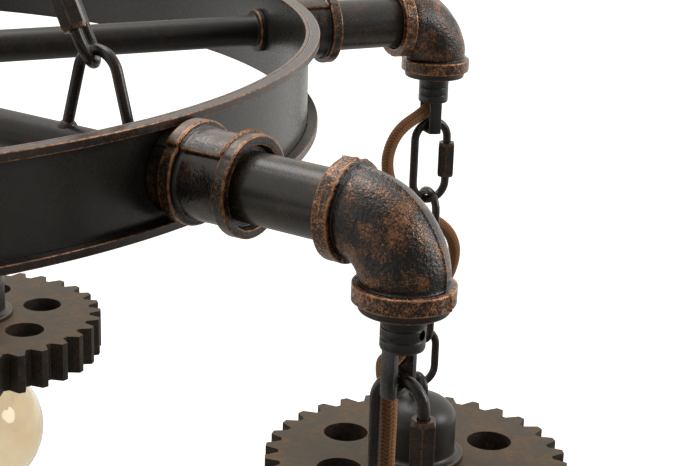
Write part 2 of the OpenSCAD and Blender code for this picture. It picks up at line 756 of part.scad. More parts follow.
// Globe of glass with a tapered neck, shrunk by its wall for the hollow
module globe(shrink, over) {
    neck_base = bulb_d / 2 * 0.8;
    translate([0, 0, bulb_z]) sphere(d = bulb_d - 2 * shrink);
    translate([0, 0, bulb_z + neck_base])
        cylinder(r1 = bulb_d / 2 * 0.58 - shrink, r2 = cap_d / 2 - shrink,
                 h = holder_low_z - weld_gap - bulb_z - neck_base + over);
}

// Globe bulb and its cap
module bulb_on(k) {
    under_arm(k) {
        color("#d9a24a") difference() {
            globe(0, 0);
            globe(glass_t, past);
        }
        color("#b5893c") translate([0, 0, holder_low_z]) cylinder(d = cap_d, h = cap_h);
    }
}

// Direction of a route at its point i
function route_way(route, i) =
    let (a = route[max(i - 1, 0)], b = route[min(i + 1, len(route) - 1)]) (b - a) / norm(b - a);

// One ring of a tube round point i of its route
function tube_ring(route, i) =
    let (way = route_way(route, i), across = cross([0, 1, 0], way), side = across / norm(across),
         front = cross(way, side))
    [for (j = [0:cord_sides - 1]) let (turn = 360 * j / cord_sides)
        route[i] + cord_d / 2 * (cos(turn) * side + sin(turn) * front)];

// A tube swept along the points of a route
module tube(route) {
    last = len(route) - 1;
    points = [for (i = [0:last]) each tube_ring(route, i)];
    ends = [[for (j = [0:cord_sides - 1]) j], [for (j = [cord_sides - 1:-1:0]) last * cord_sides + j]];
    sides = [for (i = [0:last - 1]) for (j = [0:cord_sides - 1])
        let (a = i * cord_sides + j, b = i * cord_sides + (j + 1) % cord_sides)
            each [[a, a + cord_sides, b], [b, a + cord_sides, b + cord_sides]]];
    polyhedron(points, concat(ends, sides));
}

module cord_on(k) {
    color("#8a5f3f") under_arm(k) tube(k % 2 == 1 ? CORD_CLOSE : CORD_BOWED);
}

mounting_bar();
ceiling_canopy();
canopy_loop();
top_link();
top_ring();
suspension_links();
suspension_chains();
lugs();
ring_web();
ring_flanges();
spokes();
centre_hub();
hub_lid();
couplings();
pipe_nipples();
elbows();
bushings();
hang_loops();
for (k = [1:ARMS]) {
    quick_link_on(k);
    chain_on(k);
    socket_cup_on(k);
    gear_shade_on(k);
    lampholder_on(k);
    bulb_on(k);
    cord_on(k);
}
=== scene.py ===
"""The looks of the industrial chandelier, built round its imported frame."""
import json
import math

import bmesh
import bpy
import numpy as np
from mathutils import Matrix, Vector, noise

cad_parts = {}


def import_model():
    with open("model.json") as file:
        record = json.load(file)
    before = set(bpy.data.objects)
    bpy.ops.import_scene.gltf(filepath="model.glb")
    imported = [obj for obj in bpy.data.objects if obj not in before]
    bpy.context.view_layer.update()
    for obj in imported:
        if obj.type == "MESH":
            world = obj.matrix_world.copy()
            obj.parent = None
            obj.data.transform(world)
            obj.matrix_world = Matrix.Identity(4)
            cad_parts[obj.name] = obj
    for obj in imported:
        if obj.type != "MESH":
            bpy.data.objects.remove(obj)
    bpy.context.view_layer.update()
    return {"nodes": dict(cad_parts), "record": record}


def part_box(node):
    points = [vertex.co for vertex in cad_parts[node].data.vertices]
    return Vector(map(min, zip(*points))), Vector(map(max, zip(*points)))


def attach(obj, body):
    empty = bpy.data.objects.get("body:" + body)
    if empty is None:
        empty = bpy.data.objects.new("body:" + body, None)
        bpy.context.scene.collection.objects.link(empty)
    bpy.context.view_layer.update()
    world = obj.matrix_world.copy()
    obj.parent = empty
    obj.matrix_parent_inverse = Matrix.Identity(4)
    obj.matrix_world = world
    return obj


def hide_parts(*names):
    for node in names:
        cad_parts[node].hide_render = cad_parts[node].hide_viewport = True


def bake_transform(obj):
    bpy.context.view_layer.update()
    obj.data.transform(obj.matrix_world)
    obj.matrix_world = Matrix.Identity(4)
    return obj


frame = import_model()

# Lengths are in millimetres until a mesh is made
MM = 0.001
ARMS = range(1, 7)
LEGS = range(3)
BODY = {n: body for body, nodes in frame["record"]["behaviour"]["bodies"].items() for n in nodes}


def node_span(name, axis):
    """The lowest and highest place of a node along an axis, in millimetres."""
    low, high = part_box(name)
    return low[axis] / MM, high[axis] / MM


# Places, read from the frame; pendant heights count from the middle of the ring
RING_LOW, RING_HIGH = node_span("ring_web", 2)
RING_Z = (RING_LOW + RING_HIGH) / 2
ARM_R = sum(node_span("bulb_1", 0)) / 2
ELBOW_LOW = node_span("elbows", 2)[0] - RING_Z
CUP_LOW, CUP_HIGH = (z - RING_Z for z in node_span("socket_cup_1", 2))
GEAR_LOW = node_span("gear_shade_1", 2)[0] - RING_Z
HOLDER_LOW = node_span("lampholder_1", 2)[0] - RING_Z
BULB_LOW = node_span("bulb_1", 2)[0] - RING_Z
LINK_LOW, LINK_HIGH = (z - RING_Z for z in node_span("quick_link_1", 2))
CHAIN_HIGH = node_span("chain_1", 2)[1] - RING_Z
TOP_LINK_LOW, TOP_LINK_HIGH = node_span("top_link", 2)
TOP_RING_LOW = node_span("top_ring", 2)[0]
LOOP_LOW = node_span("canopy_loop", 2)[0]

# Sizes of the pieces, as in the solids
WEB_R, WEB_T, RING_H = 268, 1.6, 44
FLANGE_R, FLANGE_T = 273, 3.6
SPOKE_D, SPOKE_COLLAR_D, SPOKE_COLLAR_W = 16, 22, 3
HUB_D, HUB_H, LID_T, INLET_D, INLET_BORE, INLET_H = 84, 36, 3, 18, 9, 12
PIPE_D, BARREL_D, COLLAR_D, COLLAR_W, COLLAR_STAND = 26.7, 34, 38.8, 5.5, 7.5
COUPLING_LEN, HALF_STEP, PARTING = 38, 1.2, math.radians(45)
BAND_D, BAND_W, ELBOW_D, RIDGE_H, RIDGE_STEP = 37, 6.5, 32.6, 0.75, 0.45
BUSHING_D, BUSHING_T = 33, 3.5
NECK_D, NECK_H, YOKE_D, YOKE_BACK, YOKE_FRONT = 16.5, 14.5, 15.4, 4.8, 1.9
WINDOW_W, WINDOW_H, LIP_H, CORD_BORE, SIDE_HOLE_D = 10, 14.5, 3, 8.2, 3.8
QL_WIRE, QL_LEN, QL_W, QL_NUT_D, QL_NUT_LEN, QL_OPEN = 4.6, 50, 25, 10.2, 20, 12
CHAIN_WIRE, CHAIN_LEN, CHAIN_W, CHAIN_GAP = 4.5, 37.6, 24, 0.2
DROP_LINKS, LEG_LINKS, LEG_TWIST = 4, 12, 33
LUG_WIRE, LUG_R, LUG_W, LUG_RISE, LUG_ARCH_R = 4.6, 230, 33, 40, 10
TOP_WIRE, TOP_EYE_R, TOP_LINK_W = 6, 10, 30
TOP_RING_R, TOP_RING_WIRE, TOP_BAR_D, TOP_BAR_TURN = 32, 8, 7, 30
CANOPY_D, CANOPY_H, CANOPY_WALL, CANOPY_RIM_H, CANOPY_FLAT_D = 130, 30, 1.2, 5, 48
STEM_D, LOOP_COLLAR_D, LOOP_COLLAR_H = 10, 24, 5
CUP_D, CUP_WALL, DOME_H, CUP_BASE_D, CUP_BASE_H = 45.6, 2.5, 15, 56, 3
EYE_R, EYE_WIRE, GLAND_D, GLAND_SIDE = 7, 4.5, 11, 11
GEAR_D, GEAR_TEETH, TOOTH_DEPTH, RECESS_GAP, GEAR_PLATE = 180, 32, 8, 4, 3
GEAR_HOLE_D, GEAR_HOLE_R, GEAR_HOLES, ROOT_SHARE, TIP_SHARE = 27, 50.5, 6, 0.38, 0.13
TOOTH_TURN = math.radians(3)
HOLDER_R, HOLDER_UP, SHADE_RING_D, SHADE_RING_H = 20, 19, 54, 5
BULB_D, CAP_D, CAP_H, GLASS_T = 95, 26, 22, 1

BEND_R = -ELBOW_LOW - BAND_W
ELBOW_START = ARM_R + ELBOW_LOW
COUPLING_END = WEB_R + COUPLING_LEN
NECK_Z = ELBOW_LOW - BUSHING_T
WINDOW_Z = NECK_Z - NECK_H
YOKE_Z = WINDOW_Z - WINDOW_H - LIP_H
CHAIN_STEP = CHAIN_LEN - 2 * CHAIN_WIRE - CHAIN_GAP

# Wear of plain, bevelled and cut faces, and the least wear of the raised bands
FACE_WEAR = (0, 1, 0.6)
COLLAR_RUB, BAND_RUB = 0.34, 0.45
# Bends, per metre, at which a corner begins to be rubbed or hollow, and what it takes beyond that
RUB_BEND, RUB_SPAN, HOLLOW_BEND, HOLLOW_SPAN = 550, 700, 250, 400

# Cords, in metres: thickness, height of a strand, space between samples, and how much thinner the
# hidden ends of a stretch are
CORD_D, STRAND_H, CORD_STEP, SEAM_TUCK = 0.007, 0.0003, 0.0004, (0.00002, 0.0001)
# Two heights for each of the two stretches of a cord, and the height where they meet
LINK_BEND, PENDANT_BEND, SEAM_Z = (-46, -75), (-85, -125), -80
# Cord routes of the odd and the even arms, in tenths of a millimetre: along the arm, sideways, height
CORD_CLOSE = [
    (0, 0, -360), (0, 0, -390), (0, 0, -420), (-4, 0, -444), (-17, 1, -477), (-46, 7, -514),
    (-72, 20, -537), (-89, 35, -557), (-109, 67, -608), (-109, 87, -666), (-101, 85, -760),
    (-105, 90, -880), (-108, 95, -1000), (-110, 104, -1120), (-110, 120, -1240), (-95, 140, -1370),
    (-50, 165, -1510), (0, 175, -1650), (50, 170, -1790), (90, 145, -1930), (110, 120, -2060),
    (110, 110, -2160), (110, 110, -2260), (110, 110, -2360),
]
CORD_BOWED = [
    (0, 0, -360), (0, 0, -405), (-5, 0, -446), (-20, 0, -481), (-44, 0, -510), (-77, 0, -534),
    (-120, 0, -559), (-173, 0, -592), (-220, 0, -640), (-254, 0, -706), (-270, 0, -785), (-258, 0, -875),
    (-215, 0, -960), (-150, 0, -1035), (-70, 0, -1100), (15, 0, -1150), (97, 2, -1200), (165, 9, -1275),
    (204, 24, -1375), (202, 54, -1500), (166, 100, -1625), (100, 145, -1740), (22, 168, -1845),
    (-48, 160, -1950), (-92, 134, -2055), (-108, 114, -2160), (-110, 110, -2260), (-110, 110, -2360),
]


# Shapes: each is a list of corners and a list of faces

def rounded(points, radius, steps=3, closed=False):
    """A line of (across, along) points with its corners rounded off."""
    line = [np.array(p, float) for p in points]
    out = []
    for i, corner in enumerate(line):
        if not closed and i in (0, len(line) - 1):
            out.append(corner)
            continue
        back, ahead = line[i - 1] - corner, line[(i + 1) % len(line)] - corner
        back_len, ahead_len = np.linalg.norm(back), np.linalg.norm(ahead)
        cut = min(radius, 0.45 * back_len, 0.45 * ahead_len)
        start, end = corner + back * cut / back_len, corner + ahead * cut / ahead_len
        for t in np.linspace(0, 1, steps + 1):
            out.append((1 - t) ** 2 * start + 2 * t * (1 - t) * corner + t * t * end)
    return np.array(out)


def spaced(line, step, closed=False):
    """A line with points added so that none are further apart than step."""
    if closed:
        return spaced(np.concatenate([line, line[:1]]), step)[:-1]
    out = [line[0]]
    for a, b in zip(line, line[1:]):
        count = max(1, math.ceil(np.linalg.norm(b - a) / step))
        out += [a + (b - a) * i / count for i in range(1, count + 1)]
    return np.array(out)


def strip(rings, sides, closed, capped):
    """The faces that join rings of corners."""
    last = rings if closed else rings - 1
    faces = []
    for i in range(last):
        a, b = i * sides, (i + 1) % rings * sides
        faces += [(a + j, a + (j + 1) % sides, b + (j + 1) % sides, b + j) for j in range(sides)]
    if capped and not closed:
        faces.append(tuple(range(sides))[::-1])
        faces.append(tuple((rings - 1) * sides + j for j in range(sides)))
    return faces


def even_turns(sides):
    return np.arange(sides) * 2 * math.pi / sides


def tube(path, radius, turns, sides, fronts):
    """Corners round a path. Two directions at each point give the plane of its ring."""
    spin = np.cos(turns)[None, :, None] * sides[:, None] + np.sin(turns)[None, :, None] * fronts[:, None]
    return (path[:, None] + radius[..., None] * spin).reshape(-1, 3)


def sweep(path, radius, turns, normal=(0, 1, 0), ways=None, closed=False, capped=True):
    """A tube along a flat path. radius is one number, one for each point, or one for each corner."""
    path = np.asarray(path, float)
    if ways is None:
        ways = np.roll(path, -1, 0) - np.roll(path, 1, 0) if closed else np.gradient(path, axis=0)
    ways = ways / np.linalg.norm(ways, axis=1)[:, None]
    front = np.tile(np.array(normal, float), (len(path), 1))
    size = np.asarray(radius, float)
    size = np.broadcast_to(size[:, None] if size.ndim == 1 else size, (len(path), len(turns)))
    corners = tube(path, size, turns, np.cross(front, ways), front)
    return corners, strip(len(path), len(turns), closed, capped)


def lathe(profile, sides=64, closed=False, capped=True, turns=None, grow=None):
    """A profile of (radius, height) turned round Z. grow adds to the radius of each corner."""
    profile = np.asarray(profile, float)
    turns = even_turns(sides) if turns is None else turns
    size = np.repeat(profile[:, :1], len(turns), axis=1)
    if grow is not None:
        size = size + grow(profile, turns)
    corners = np.stack([size * np.cos(turns), size * np.sin(turns),
                        np.repeat(profile[:, 1:2], len(turns), axis=1)], axis=-1)
    return corners.reshape(-1, 3), strip(len(profile), len(turns), closed, capped)


def turned(line, radius, sides, steps=3, closed=False):
    """A line of (radius, height) points with its corners rounded off, turned round Z."""
    return lathe(rounded(line, radius, steps, closed), sides, closed)


def moved(shape, matrix):
    corners, faces = shape
    return np.asarray(corners) @ np.array(matrix.to_3x3()).T + np.array(matrix.translation), faces


def joined(*shapes):
    corners, faces, start = [], [], 0
    for points, sides in shapes:
        corners.append(np.asarray(points))
        faces += [tuple(start + i for i in face) for face in sides]
        start += len(points)
    return np.concatenate(corners), faces


def shift(x=0.0, y=0.0, z=0.0):
    return Matrix.Translation((x, y, z))


def turn(degrees, axis):
    return Matrix.Rotation(math.radians(degrees), 4, axis)


ALONG_X = turn(90, "Y")
MIDDLE = shift(z=RING_Z)


def prism(outline, low, high):
    """An outline in the XY plane made thick along Z."""
    count = len(outline)
    corners = [(x, y, low) for x, y in outline] + [(x, y, high) for x, y in outline]
    return np.array(corners, float), strip(2, count, False, True)


def oval_path(length, width, wire, bow_steps=14, straight_steps=6):
    """Points round an oval link in the XZ plane."""
    bow = (width - wire) / 2
    half = (length - width) / 2
    arc = np.linspace(0, math.pi, bow_steps)
    run = np.linspace(half, -half, straight_steps)[1:-1]
    top = [(bow * math.cos(t), 0, half + bow * math.sin(t)) for t in arc]
    low = [(-bow * math.cos(t), 0, -half - bow * math.sin(t)) for t in arc]
    return np.array(top + [(-bow, 0, z) for z in run] + low + [(bow, 0, -z) for z in run])


def oval_link(length, width, wire):
    """A welded wire link, a little thicker at its weld."""
    path = oval_path(length, width, wire)
    weld = np.exp(-(path[:, 2] / 1.6) ** 2) * (path[:, 0] < 0)
    return sweep(path, wire / 2 * (1 + 0.07 * weld), even_turns(18), closed=True)


def wire_ring(radius, wire, steps=64):
    """A wire ring in the XZ plane."""
    around = even_turns(steps)
    path = np.stack([radius * np.cos(around), 0 * around, radius * np.sin(around)], axis=1)
    return sweep(path, wire / 2, even_turns(20), closed=True)


def hex_sleeve(across, length, bore, edge):
    """A hex sleeve along Z with chamfered ends."""
    half = length / 2
    flat = across / 2 * math.cos(math.pi / 6)
    profile = rounded([(bore, half), (bore, -half), (flat - 0.4, -half), (across, -half + 2 * edge),
                       (across, half - 2 * edge), (flat - 0.4, half)], 0.3, closed=True)

    def flats(line, turns):
        side = flat / np.cos(np.mod(turns, math.pi / 3) - math.pi / 6)
        return np.minimum(side[None, :] - line[:, :1], 0)

    return lathe(profile, 96, True, grow=flats)


def lumps(corners, size, height):
    """Smooth lumps of a casting: a height for each corner."""
    return height * np.array([noise.noise(Vector(p) / size) for p in np.asarray(corners).reshape(-1, 3)])


# Meshes and pieces

def spread_out(values, a, b, share, times):
    """Hands a share of each value on to the corners next to it, along the edges from a to b."""
    for i in range(times):
        wider = values.copy()
        np.maximum.at(wider, a, share * values[b])
        np.maximum.at(wider, b, share * values[a])
        values = wider
    return values


def keep(mesh, name, values, domain="POINT"):
    """Keeps a number for each corner or face of a mesh."""
    mesh.attributes.new(name, "FLOAT", domain).data.foreach_set("value", values.ravel().astype(np.float32))


def read(items, name, width=1, kind=float):
    """A row of numbers for each corner, edge or face of a mesh."""
    values = np.empty(len(items) * width, kind)
    items.foreach_get(name, values)
    return values.reshape(-1, width)


def mark_wear(mesh):
    """Keeps where the metals are rubbed.

    That is on marked faces, or else on corners that stand out, and not in hollows.
    """
    marks = read(mesh.polygons, "material_index", 1, int).ravel()
    if marks.any():
        keep(mesh, "wear", np.array(FACE_WEAR)[marks], "FACE")
        mesh.polygons.foreach_set("material_index", 0 * marks)
        return
    spot, facing = (read(mesh.vertices, name, 3) for name in ("co", "normal"))
    a, b = read(mesh.edges, "vertices", 2, int).T
    out, back = np.zeros(len(spot)), np.zeros(len(spot))
    for corner, other in ((a, b), (b, a)):
        gap = spot[corner] - spot[other]
        bend = 2 * (facing[corner] * gap).sum(1) / np.maximum((gap * gap).sum(1), 1e-12)
        np.maximum.at(out, corner, bend)
        np.maximum.at(back, corner, -bend)
    wear = spread_out(np.clip((out - RUB_BEND) / RUB_SPAN, 0, 1), a, b, 0.45, 1)
    hollow = spread_out(np.clip((back - HOLLOW_BEND) / HOLLOW_SPAN, 0, 1), a, b, 0.75, 3)
    keep(mesh, "wear", wear - hollow * (wear < 0.3))


def make_mesh(name, shape, material, sharp=50, skin=None, rub=None):
    """A mesh of the shape.

    skin gives its corners with the lumps of the casting, and rub the least wear of each corner.
    """
    mesh = finished(plain_mesh(shape, name), material, sharp)
    if rub is not None:
        marks = mesh.attributes["wear"].data
        wear = read(marks, "value", 1, np.float32).ravel()
        marks.foreach_set("value", np.maximum(wear, rub).astype(np.float32))
    if skin is not None:
        mesh.vertices.foreach_set("co", (np.asarray(skin) * MM).ravel())
        mesh.update()
    return mesh


def finished(mesh, material, sharp=50):
    """Sets the shading, the material and the wear of a new mesh."""
    mark_wear(mesh)
    mesh.materials.clear()
    mesh.materials.append(material)
    mesh.shade_smooth()
    mesh.set_sharp_from_angle(angle=math.radians(sharp))
    mesh.update()
    return mesh


def linked(name, data):
    """A new object in the scene."""
    made = bpy.data.objects.new(name, data)
    bpy.context.scene.collection.objects.link(made)
    return made


def evaluated(carrier):
    """The final mesh of an object, which goes."""
    graph = bpy.context.evaluated_depsgraph_get()
    mesh = bpy.data.meshes.new_from_object(carrier.evaluated_get(graph))
    bpy.data.objects.remove(carrier)
    return mesh


def with_modifier(mesh, kind, **values):
    """The mesh after a modifier."""
    carrier = linked("carrier", mesh)
    modifier = carrier.modifiers.new(kind, kind)
    for key, value in values.items():
        setattr(modifier, key, value)
    return evaluated(carrier)


def plain_mesh(shape, name="plain", unit=MM):
    corners, faces = shape
    mesh = bpy.data.meshes.new(name)
    mesh.from_pydata((np.asarray(corners) * unit).tolist(), [], faces)
    return mesh


def bevelled(mesh, width, segments=2):
    """The mesh with its edges rounded. The new faces are marked by the second material."""
    mesh.materials.append(None)
    mesh.materials.append(None)
    return with_modifier(mesh, "BEVEL", width=width * MM, segments=segments, limit_method="ANGLE",
                         angle_limit=0.6, material=1)


def cut(shape, cutter):
    """The shape less the cutter."""
    tool = linked("cutter", plain_mesh(cutter))
    mesh = with_modifier(plain_mesh(shape), "BOOLEAN", object=tool, solver="EXACT")
    bpy.data.objects.remove(tool)
    return mesh


def merged(name, meshes, weld=False):
    """One mesh of several, with the corners that meet joined where it is welded."""
    whole = bmesh.new()
    for mesh in meshes:
        whole.from_mesh(mesh)
    if weld:
        bmesh.ops.remove_doubles(whole, verts=whole.verts, dist=1e-6)
        bmesh.ops.recalc_face_normals(whole, faces=whole.faces)
    out = bpy.data.meshes.new(name)
    whole.to_mesh(out)
    whole.free()
    return out


def put(mesh, name, node, place=None):
    """A piece that stands for a node and rides on its body."""
    piece = linked(name, mesh)
    if place is not None:
        spot = place.copy()
        spot.translation = place.translation * MM
        piece.matrix_world = spot
    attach(piece, BODY[node])
    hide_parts(node)


def put_shape(shape, material, name, node, place=None):
    put(make_mesh(name, shape, material), name, node, place)


def on_arm(k):
    return turn(60 * (k - 1), "Z") @ MIDDLE


def under_arm(k):
    return on_arm(k) @ shift(x=ARM_R)


def put_on_arms(mesh, name, node, place=on_arm):
    """A copy of the mesh on each arm. A node named for one arm has the arm's number."""
    for k in ARMS:
        put(mesh, f"{name}_{k}", node if node in BODY else f"{node}_{k}", place(k))


# Materials

class Value:
    """An output of a node. Sums and products of values are nodes too."""

    def __init__(self, socket):
        self.socket = socket
        self.tree = socket.id_data

    def math(self, operation, other):
        return add_node(self.tree, "ShaderNodeMath", 0, {0: self, 1: other}, operation=operation)

    def __add__(self, other):
        return self.math("ADD", other)

    def __mul__(self, other):
        return self.math("MULTIPLY", other)

    def vector(self, operation, other, output="Vector"):
        return add_node(self.tree, "ShaderNodeVectorMath", output, {0: self, 1: other}, operation=operation)

    def ramp(self, low, high, start=0.0, end=1.0, kind="SMOOTHSTEP"):
        """From start, at low and below it, to end, at high and above it."""
        inputs = {"Value": self, "From Min": low, "From Max": high, "To Min": start, "To Max": end}
        return add_node(self.tree, "ShaderNodeMapRange", 0, inputs, interpolation_type=kind)

    def mix(self, a, b):
        """A colour between two, by this value."""
        a, b = (c if isinstance(c, Value) else (*c, 1) for c in (a, b))
        return add_node(self.tree, "ShaderNodeMix", 2, {0: self, 6: a, 7: b}, data_type="RGBA")

    def grain(self, size, detail=3.0, rough=0.55):
        """Noise by this place, with spots of about that size in millimetres."""
        inputs = {"Vector": self, "Scale": 1 / (size * MM), "Detail": detail, "Roughness": rough}
        return add_node(self.tree, "ShaderNodeTexNoise", "Fac", inputs)

    def bump(self, distance):
        """Normals of a skin with this height."""
        inputs = {"Height": self, "Distance": distance * MM, "Strength": 1.0}
        return add_node(self.tree, "ShaderNodeBump", 0, inputs)


def feed(node, inputs):
    """Links or sets the inputs of a node."""
    for key, value in inputs.items():
        if isinstance(value, Value):
            node.id_data.links.new(value.socket, node.inputs[key])
        else:
            node.inputs[key].default_value = value


def add_node(tree, kind, output=0, inputs=None, **settings):
    found = tree.nodes.new(kind)
    for key, value in settings.items():
        setattr(found, key, value)
    feed(found, inputs or {})
    return Value(found.outputs[output])


def new_material(name):
    material = bpy.data.materials.new(name)
    material.use_nodes = True
    return material, material.node_tree, material.node_tree.nodes["Principled BSDF"]


def own_coordinates(tree):
    """Coordinates of the piece, shifted by a number of its own so that no two look alike."""
    number = add_node(tree, "ShaderNodeObjectInfo", "Random")
    return add_node(tree, "ShaderNodeTexCoord", "Object").vector("ADD", number * 7.0)


def rubbed_metal(name, dark, brown, copper, rough, rub, mottle, spot, lump=0.0, upper=None, shine=0.5):
    """Dark paint rubbed to copper: on the edges, and in patches of specks of a size in millimetres.

    Colours are in thousandths. lump is the height of a casting's skin, and upper a lighter colour on the
    faces
    that look up: painted light from above, where a metal has it.
    """
    dark, brown, copper, upper = (colour and tuple(c / 1000 for c in colour)
                                  for colour in (dark, brown, copper, upper))
    material, tree, bsdf = new_material(name)
    place = own_coordinates(tree)
    broad = place.grain(9 * spot, 2.0)
    specks = place.grain(0.75 * spot, 6.0, 0.74)
    tone = place.grain(2.2 * spot)
    wear = add_node(tree, "ShaderNodeAttribute", "Fac", attribute_name="wear")
    hollow = wear.math("MINIMUM", 0.0)
    patches = (specks + hollow * 0.3 + broad * 0.55).ramp(0.77, 0.91) * mottle
    edges = (wear + specks * 1.3 + tone * 0.4).ramp(1.22, 1.52) * wear.ramp(0.04, 0.3) * rub
    worn = (patches + edges).math("MINIMUM", 1.0)
    ground = tone.ramp(0.35, 0.7).mix(dark, brown)
    # Faces that look up get the upper colour: a painted top light from above, lighter than the sides
    if upper:
        facing = add_node(tree, "ShaderNodeTexCoord", "Normal")
        height = add_node(tree, "ShaderNodeSeparateXYZ", "Z", {0: facing})
        browner = tuple(share * c for share, c in zip((1.5, 1.15, 0.85), upper))
        ground = height.ramp(0.5, 0.9).mix(ground, (broad + tone).ramp(0.8, 1.3).mix(upper, browner))
    shade, dull = (tuple(share * c for c in copper) for share in (0.4, 0.75))
    bare = tone.ramp(0.35, 0.6).mix(shade, edges.mix(dull, copper))
    feed(bsdf, {"Base Color": worn.mix(ground, bare), "Metallic": worn * 0.4, "Specular IOR Level": shine,
                "Roughness": specks * 0.30 + (rough - 0.15),
                "Normal": (place.grain(1.4) + specks * 0.25).bump(lump) if lump else specks.bump(0.02)})
    return material


# Metals: dark and brown paint, and copper; roughness, rubbing of the edges, amount of patches, size
# of the specks; and for some the height of the skin, the lighter colour of faces that look up (painted light
# from above) and the shine
METALS = (
    ("cast_fitting", (9, 8, 7), (18, 12, 8), (550, 245, 108), 0.17, 1.0, 0.85, 1.0, 0.42),
    ("cast_coupling", (10, 9, 8), (18, 13, 10), (420, 180, 74), 0.21, 1.0, 0.3, 1.0, 0.18, (105, 99, 90)),
    ("black_pipe", (20, 20, 17), (26, 23, 19), (260, 130, 70), 0.27, 0.9, 0.34, 1.2),
    ("link_bronze", (11, 9, 8), (22, 14, 10), (360, 150, 65), 0.27, 0.35, 0.16, 1.0),
    ("loop_graphite", (18, 18, 17), (23, 22, 20), (200, 190, 180), 0.28, 0.8, 0.02, 1.5),
    ("ring_bronze", (20, 20, 17), (26, 24, 20), (260, 120, 60), 0.28, 0.8, 0.01, 2.0),
    ("flange_bronze", (14, 13, 11), (22, 17, 13), (400, 180, 90), 0.3, 0.9, 0.16, 1.2),
    ("spoke_bronze", (10, 9, 7), (16, 12, 9), (300, 130, 60), 0.4, 0.9, 0.14, 1.6, 0.0, None, 0.36),
    ("dark_bronze", (12, 10, 9), (22, 16, 12), (320, 140, 65), 0.34, 0.8, 0.14, 2.0),
    ("cup_taupe", (17, 16, 14), (26, 21, 17), (220, 120, 65), 0.38, 0.5, 0.08, 2.5),
    ("gear_taupe", (10, 8, 6), (24, 16, 10), (270, 150, 78), 0.6, 0.9, 0.22, 2.0, 0.05, (66, 53, 36), 0.3),
)
CASTING, COUPLING, PIPE, LINK, LOOP, WEB, FLANGE, SPOKE, BRONZE, CUP, GEAR = (
    rubbed_metal(*values) for values in METALS)


def plastic():
    material, tree, bsdf = new_material("holder_black")
    skin = own_coordinates(tree).grain(1.2)
    feed(bsdf, {"Base Color": skin.mix((0.012, 0.012, 0.012), (0.022, 0.021, 0.020)), "Roughness": 0.45,
                "Normal": skin.bump(0.04)})
    return material


def zinc():
    material, tree, bsdf = new_material("zinc_steel")
    place = own_coordinates(tree)
    spangle = place.grain(6.0)
    feed(bsdf, {"Base Color": spangle.mix((0.42, 0.43, 0.43), (0.60, 0.60, 0.58)), "Metallic": 1.0,
                "Roughness": spangle * 0.3 + 0.25, "Normal": place.grain(0.8).bump(0.02)})
    return material


def amber():
    material, tree, bsdf = new_material("amber_glass")
    streak = own_coordinates(tree).grain(45.0, 1.0).ramp(0.3, 0.7)
    feed(bsdf, {"Base Color": streak.mix((0.68, 0.60, 0.46), (0.75, 0.70, 0.60)), "Transmission Weight": 1.0,
                "Roughness": 0.03, "IOR": 1.45})
    return material


def braid():
    """Woven cord: the colour follows the height of the strands, darker where they are low, as painted shade
    in the weave.
    """
    material, tree, bsdf = new_material("brown_cord")
    strand = add_node(tree, "ShaderNodeAttribute", "Fac", attribute_name="strand")
    fibre = add_node(tree, "ShaderNodeTexCoord", "Object").grain(0.5, 4.0)
    # Low parts of the braid are darker: painted shade between the strands
    shade = (strand.ramp(0.0, 0.8) * (fibre + 0.5)).math("MINIMUM", 1.0)
    feed(bsdf, {"Base Color": shade.mix((0.095, 0.044, 0.019), (0.40, 0.190, 0.088)), "Roughness": 0.8,
                "Specular IOR Level": 0.15, "Sheen Weight": 1.0, "Sheen Roughness": 0.4,
                "Sheen Tint": (0.80, 0.55, 0.38, 1), "Normal": fibre.bump(0.12)})
    return material


HOLDER = plastic()
ZINC = zinc()
AMBER = amber()
BRAID = braid()


# Ring, spokes and hub

def ring_pieces():
    half = RING_H / 2
    web_in = WEB_R - WEB_T
    web = rounded([(WEB_R, -half), (WEB_R, half), (web_in, half), (web_in, -half)], 0.4, closed=True)
    put_shape(lathe(spaced(web, 2, True), 360, True), WEB, "ring_web_band", "ring_web", MIDDLE)
    rings = []
    for low in (-half, half - FLANGE_T):
        flange = rounded([(FLANGE_R, low), (FLANGE_R, low + FLANGE_T), (WEB_R + 0.1, low + FLANGE_T),
                          (WEB_R + 0.1, low)], 0.5, 4, closed=True)
        rings.append(lathe(spaced(flange, 0.6, True), 360, True))
    put_shape(joined(*rings), FLANGE, "ring_flange_bands", "ring_flanges", MIDDLE)


def spoke_pieces():
    end = WEB_R - WEB_T - 0.4
    collar, r, collar_r = end - SPOKE_COLLAR_W, SPOKE_D / 2, SPOKE_COLLAR_D / 2
    profile = rounded([(r, HUB_D / 2 - 2), (r, collar), (collar_r, collar), (collar_r, end)], 0.8)
    mesh = make_mesh("spoke", moved(lathe(spaced(profile, 20), 48), ALONG_X), SPOKE)
    put_on_arms(mesh, "spoke", "spokes")


def hub_pieces():
    r, half = HUB_D / 2, HUB_H / 2
    box = turned([(0.1, -half), (r - 6, -half), (r, -half + 4), (r, half), (r - 3, half), (r - 3, half - 3),
                  (0.1, half - 3)], 1.2, 96, 4)
    put_shape(box, SPOKE, "hub_box", "centre_hub", MIDDLE)
    top, inlet, bore = half + LID_T, INLET_D / 2, INLET_BORE / 2
    lid = turned([(bore, half), (r, half), (r, top), (inlet + 4, top), (inlet, top + 2), (inlet, top + 6),
                  (inlet - 2, top + 6.5), (inlet - 2, top + INLET_H), (bore, top + INLET_H)],
                 0.6, 96, closed=True)
    screw = turned([(0.1, top - 1), (3.2, top - 1), (3.2, top + 0.8), (1.4, top + 1.7), (0.1, top + 1.8)],
                   0.6, 24)
    screws = [moved(screw, turn(90 + 120 * i, "Z") @ shift(x=30)) for i in range(3)]
    put_shape(joined(lid, *screws), SPOKE, "hub_cover", "hub_lid", MIDDLE)


# Pipe arms

def close_turns(sides, places, width):
    """Even angles with more of them near some places, for crisp steps in a casting."""
    extra = [p + d for p in places for d in np.linspace(-width, width, 9)]
    angles = np.mod(np.concatenate([even_turns(sides), extra]), 2 * math.pi)
    return np.unique(np.round(angles, 5))


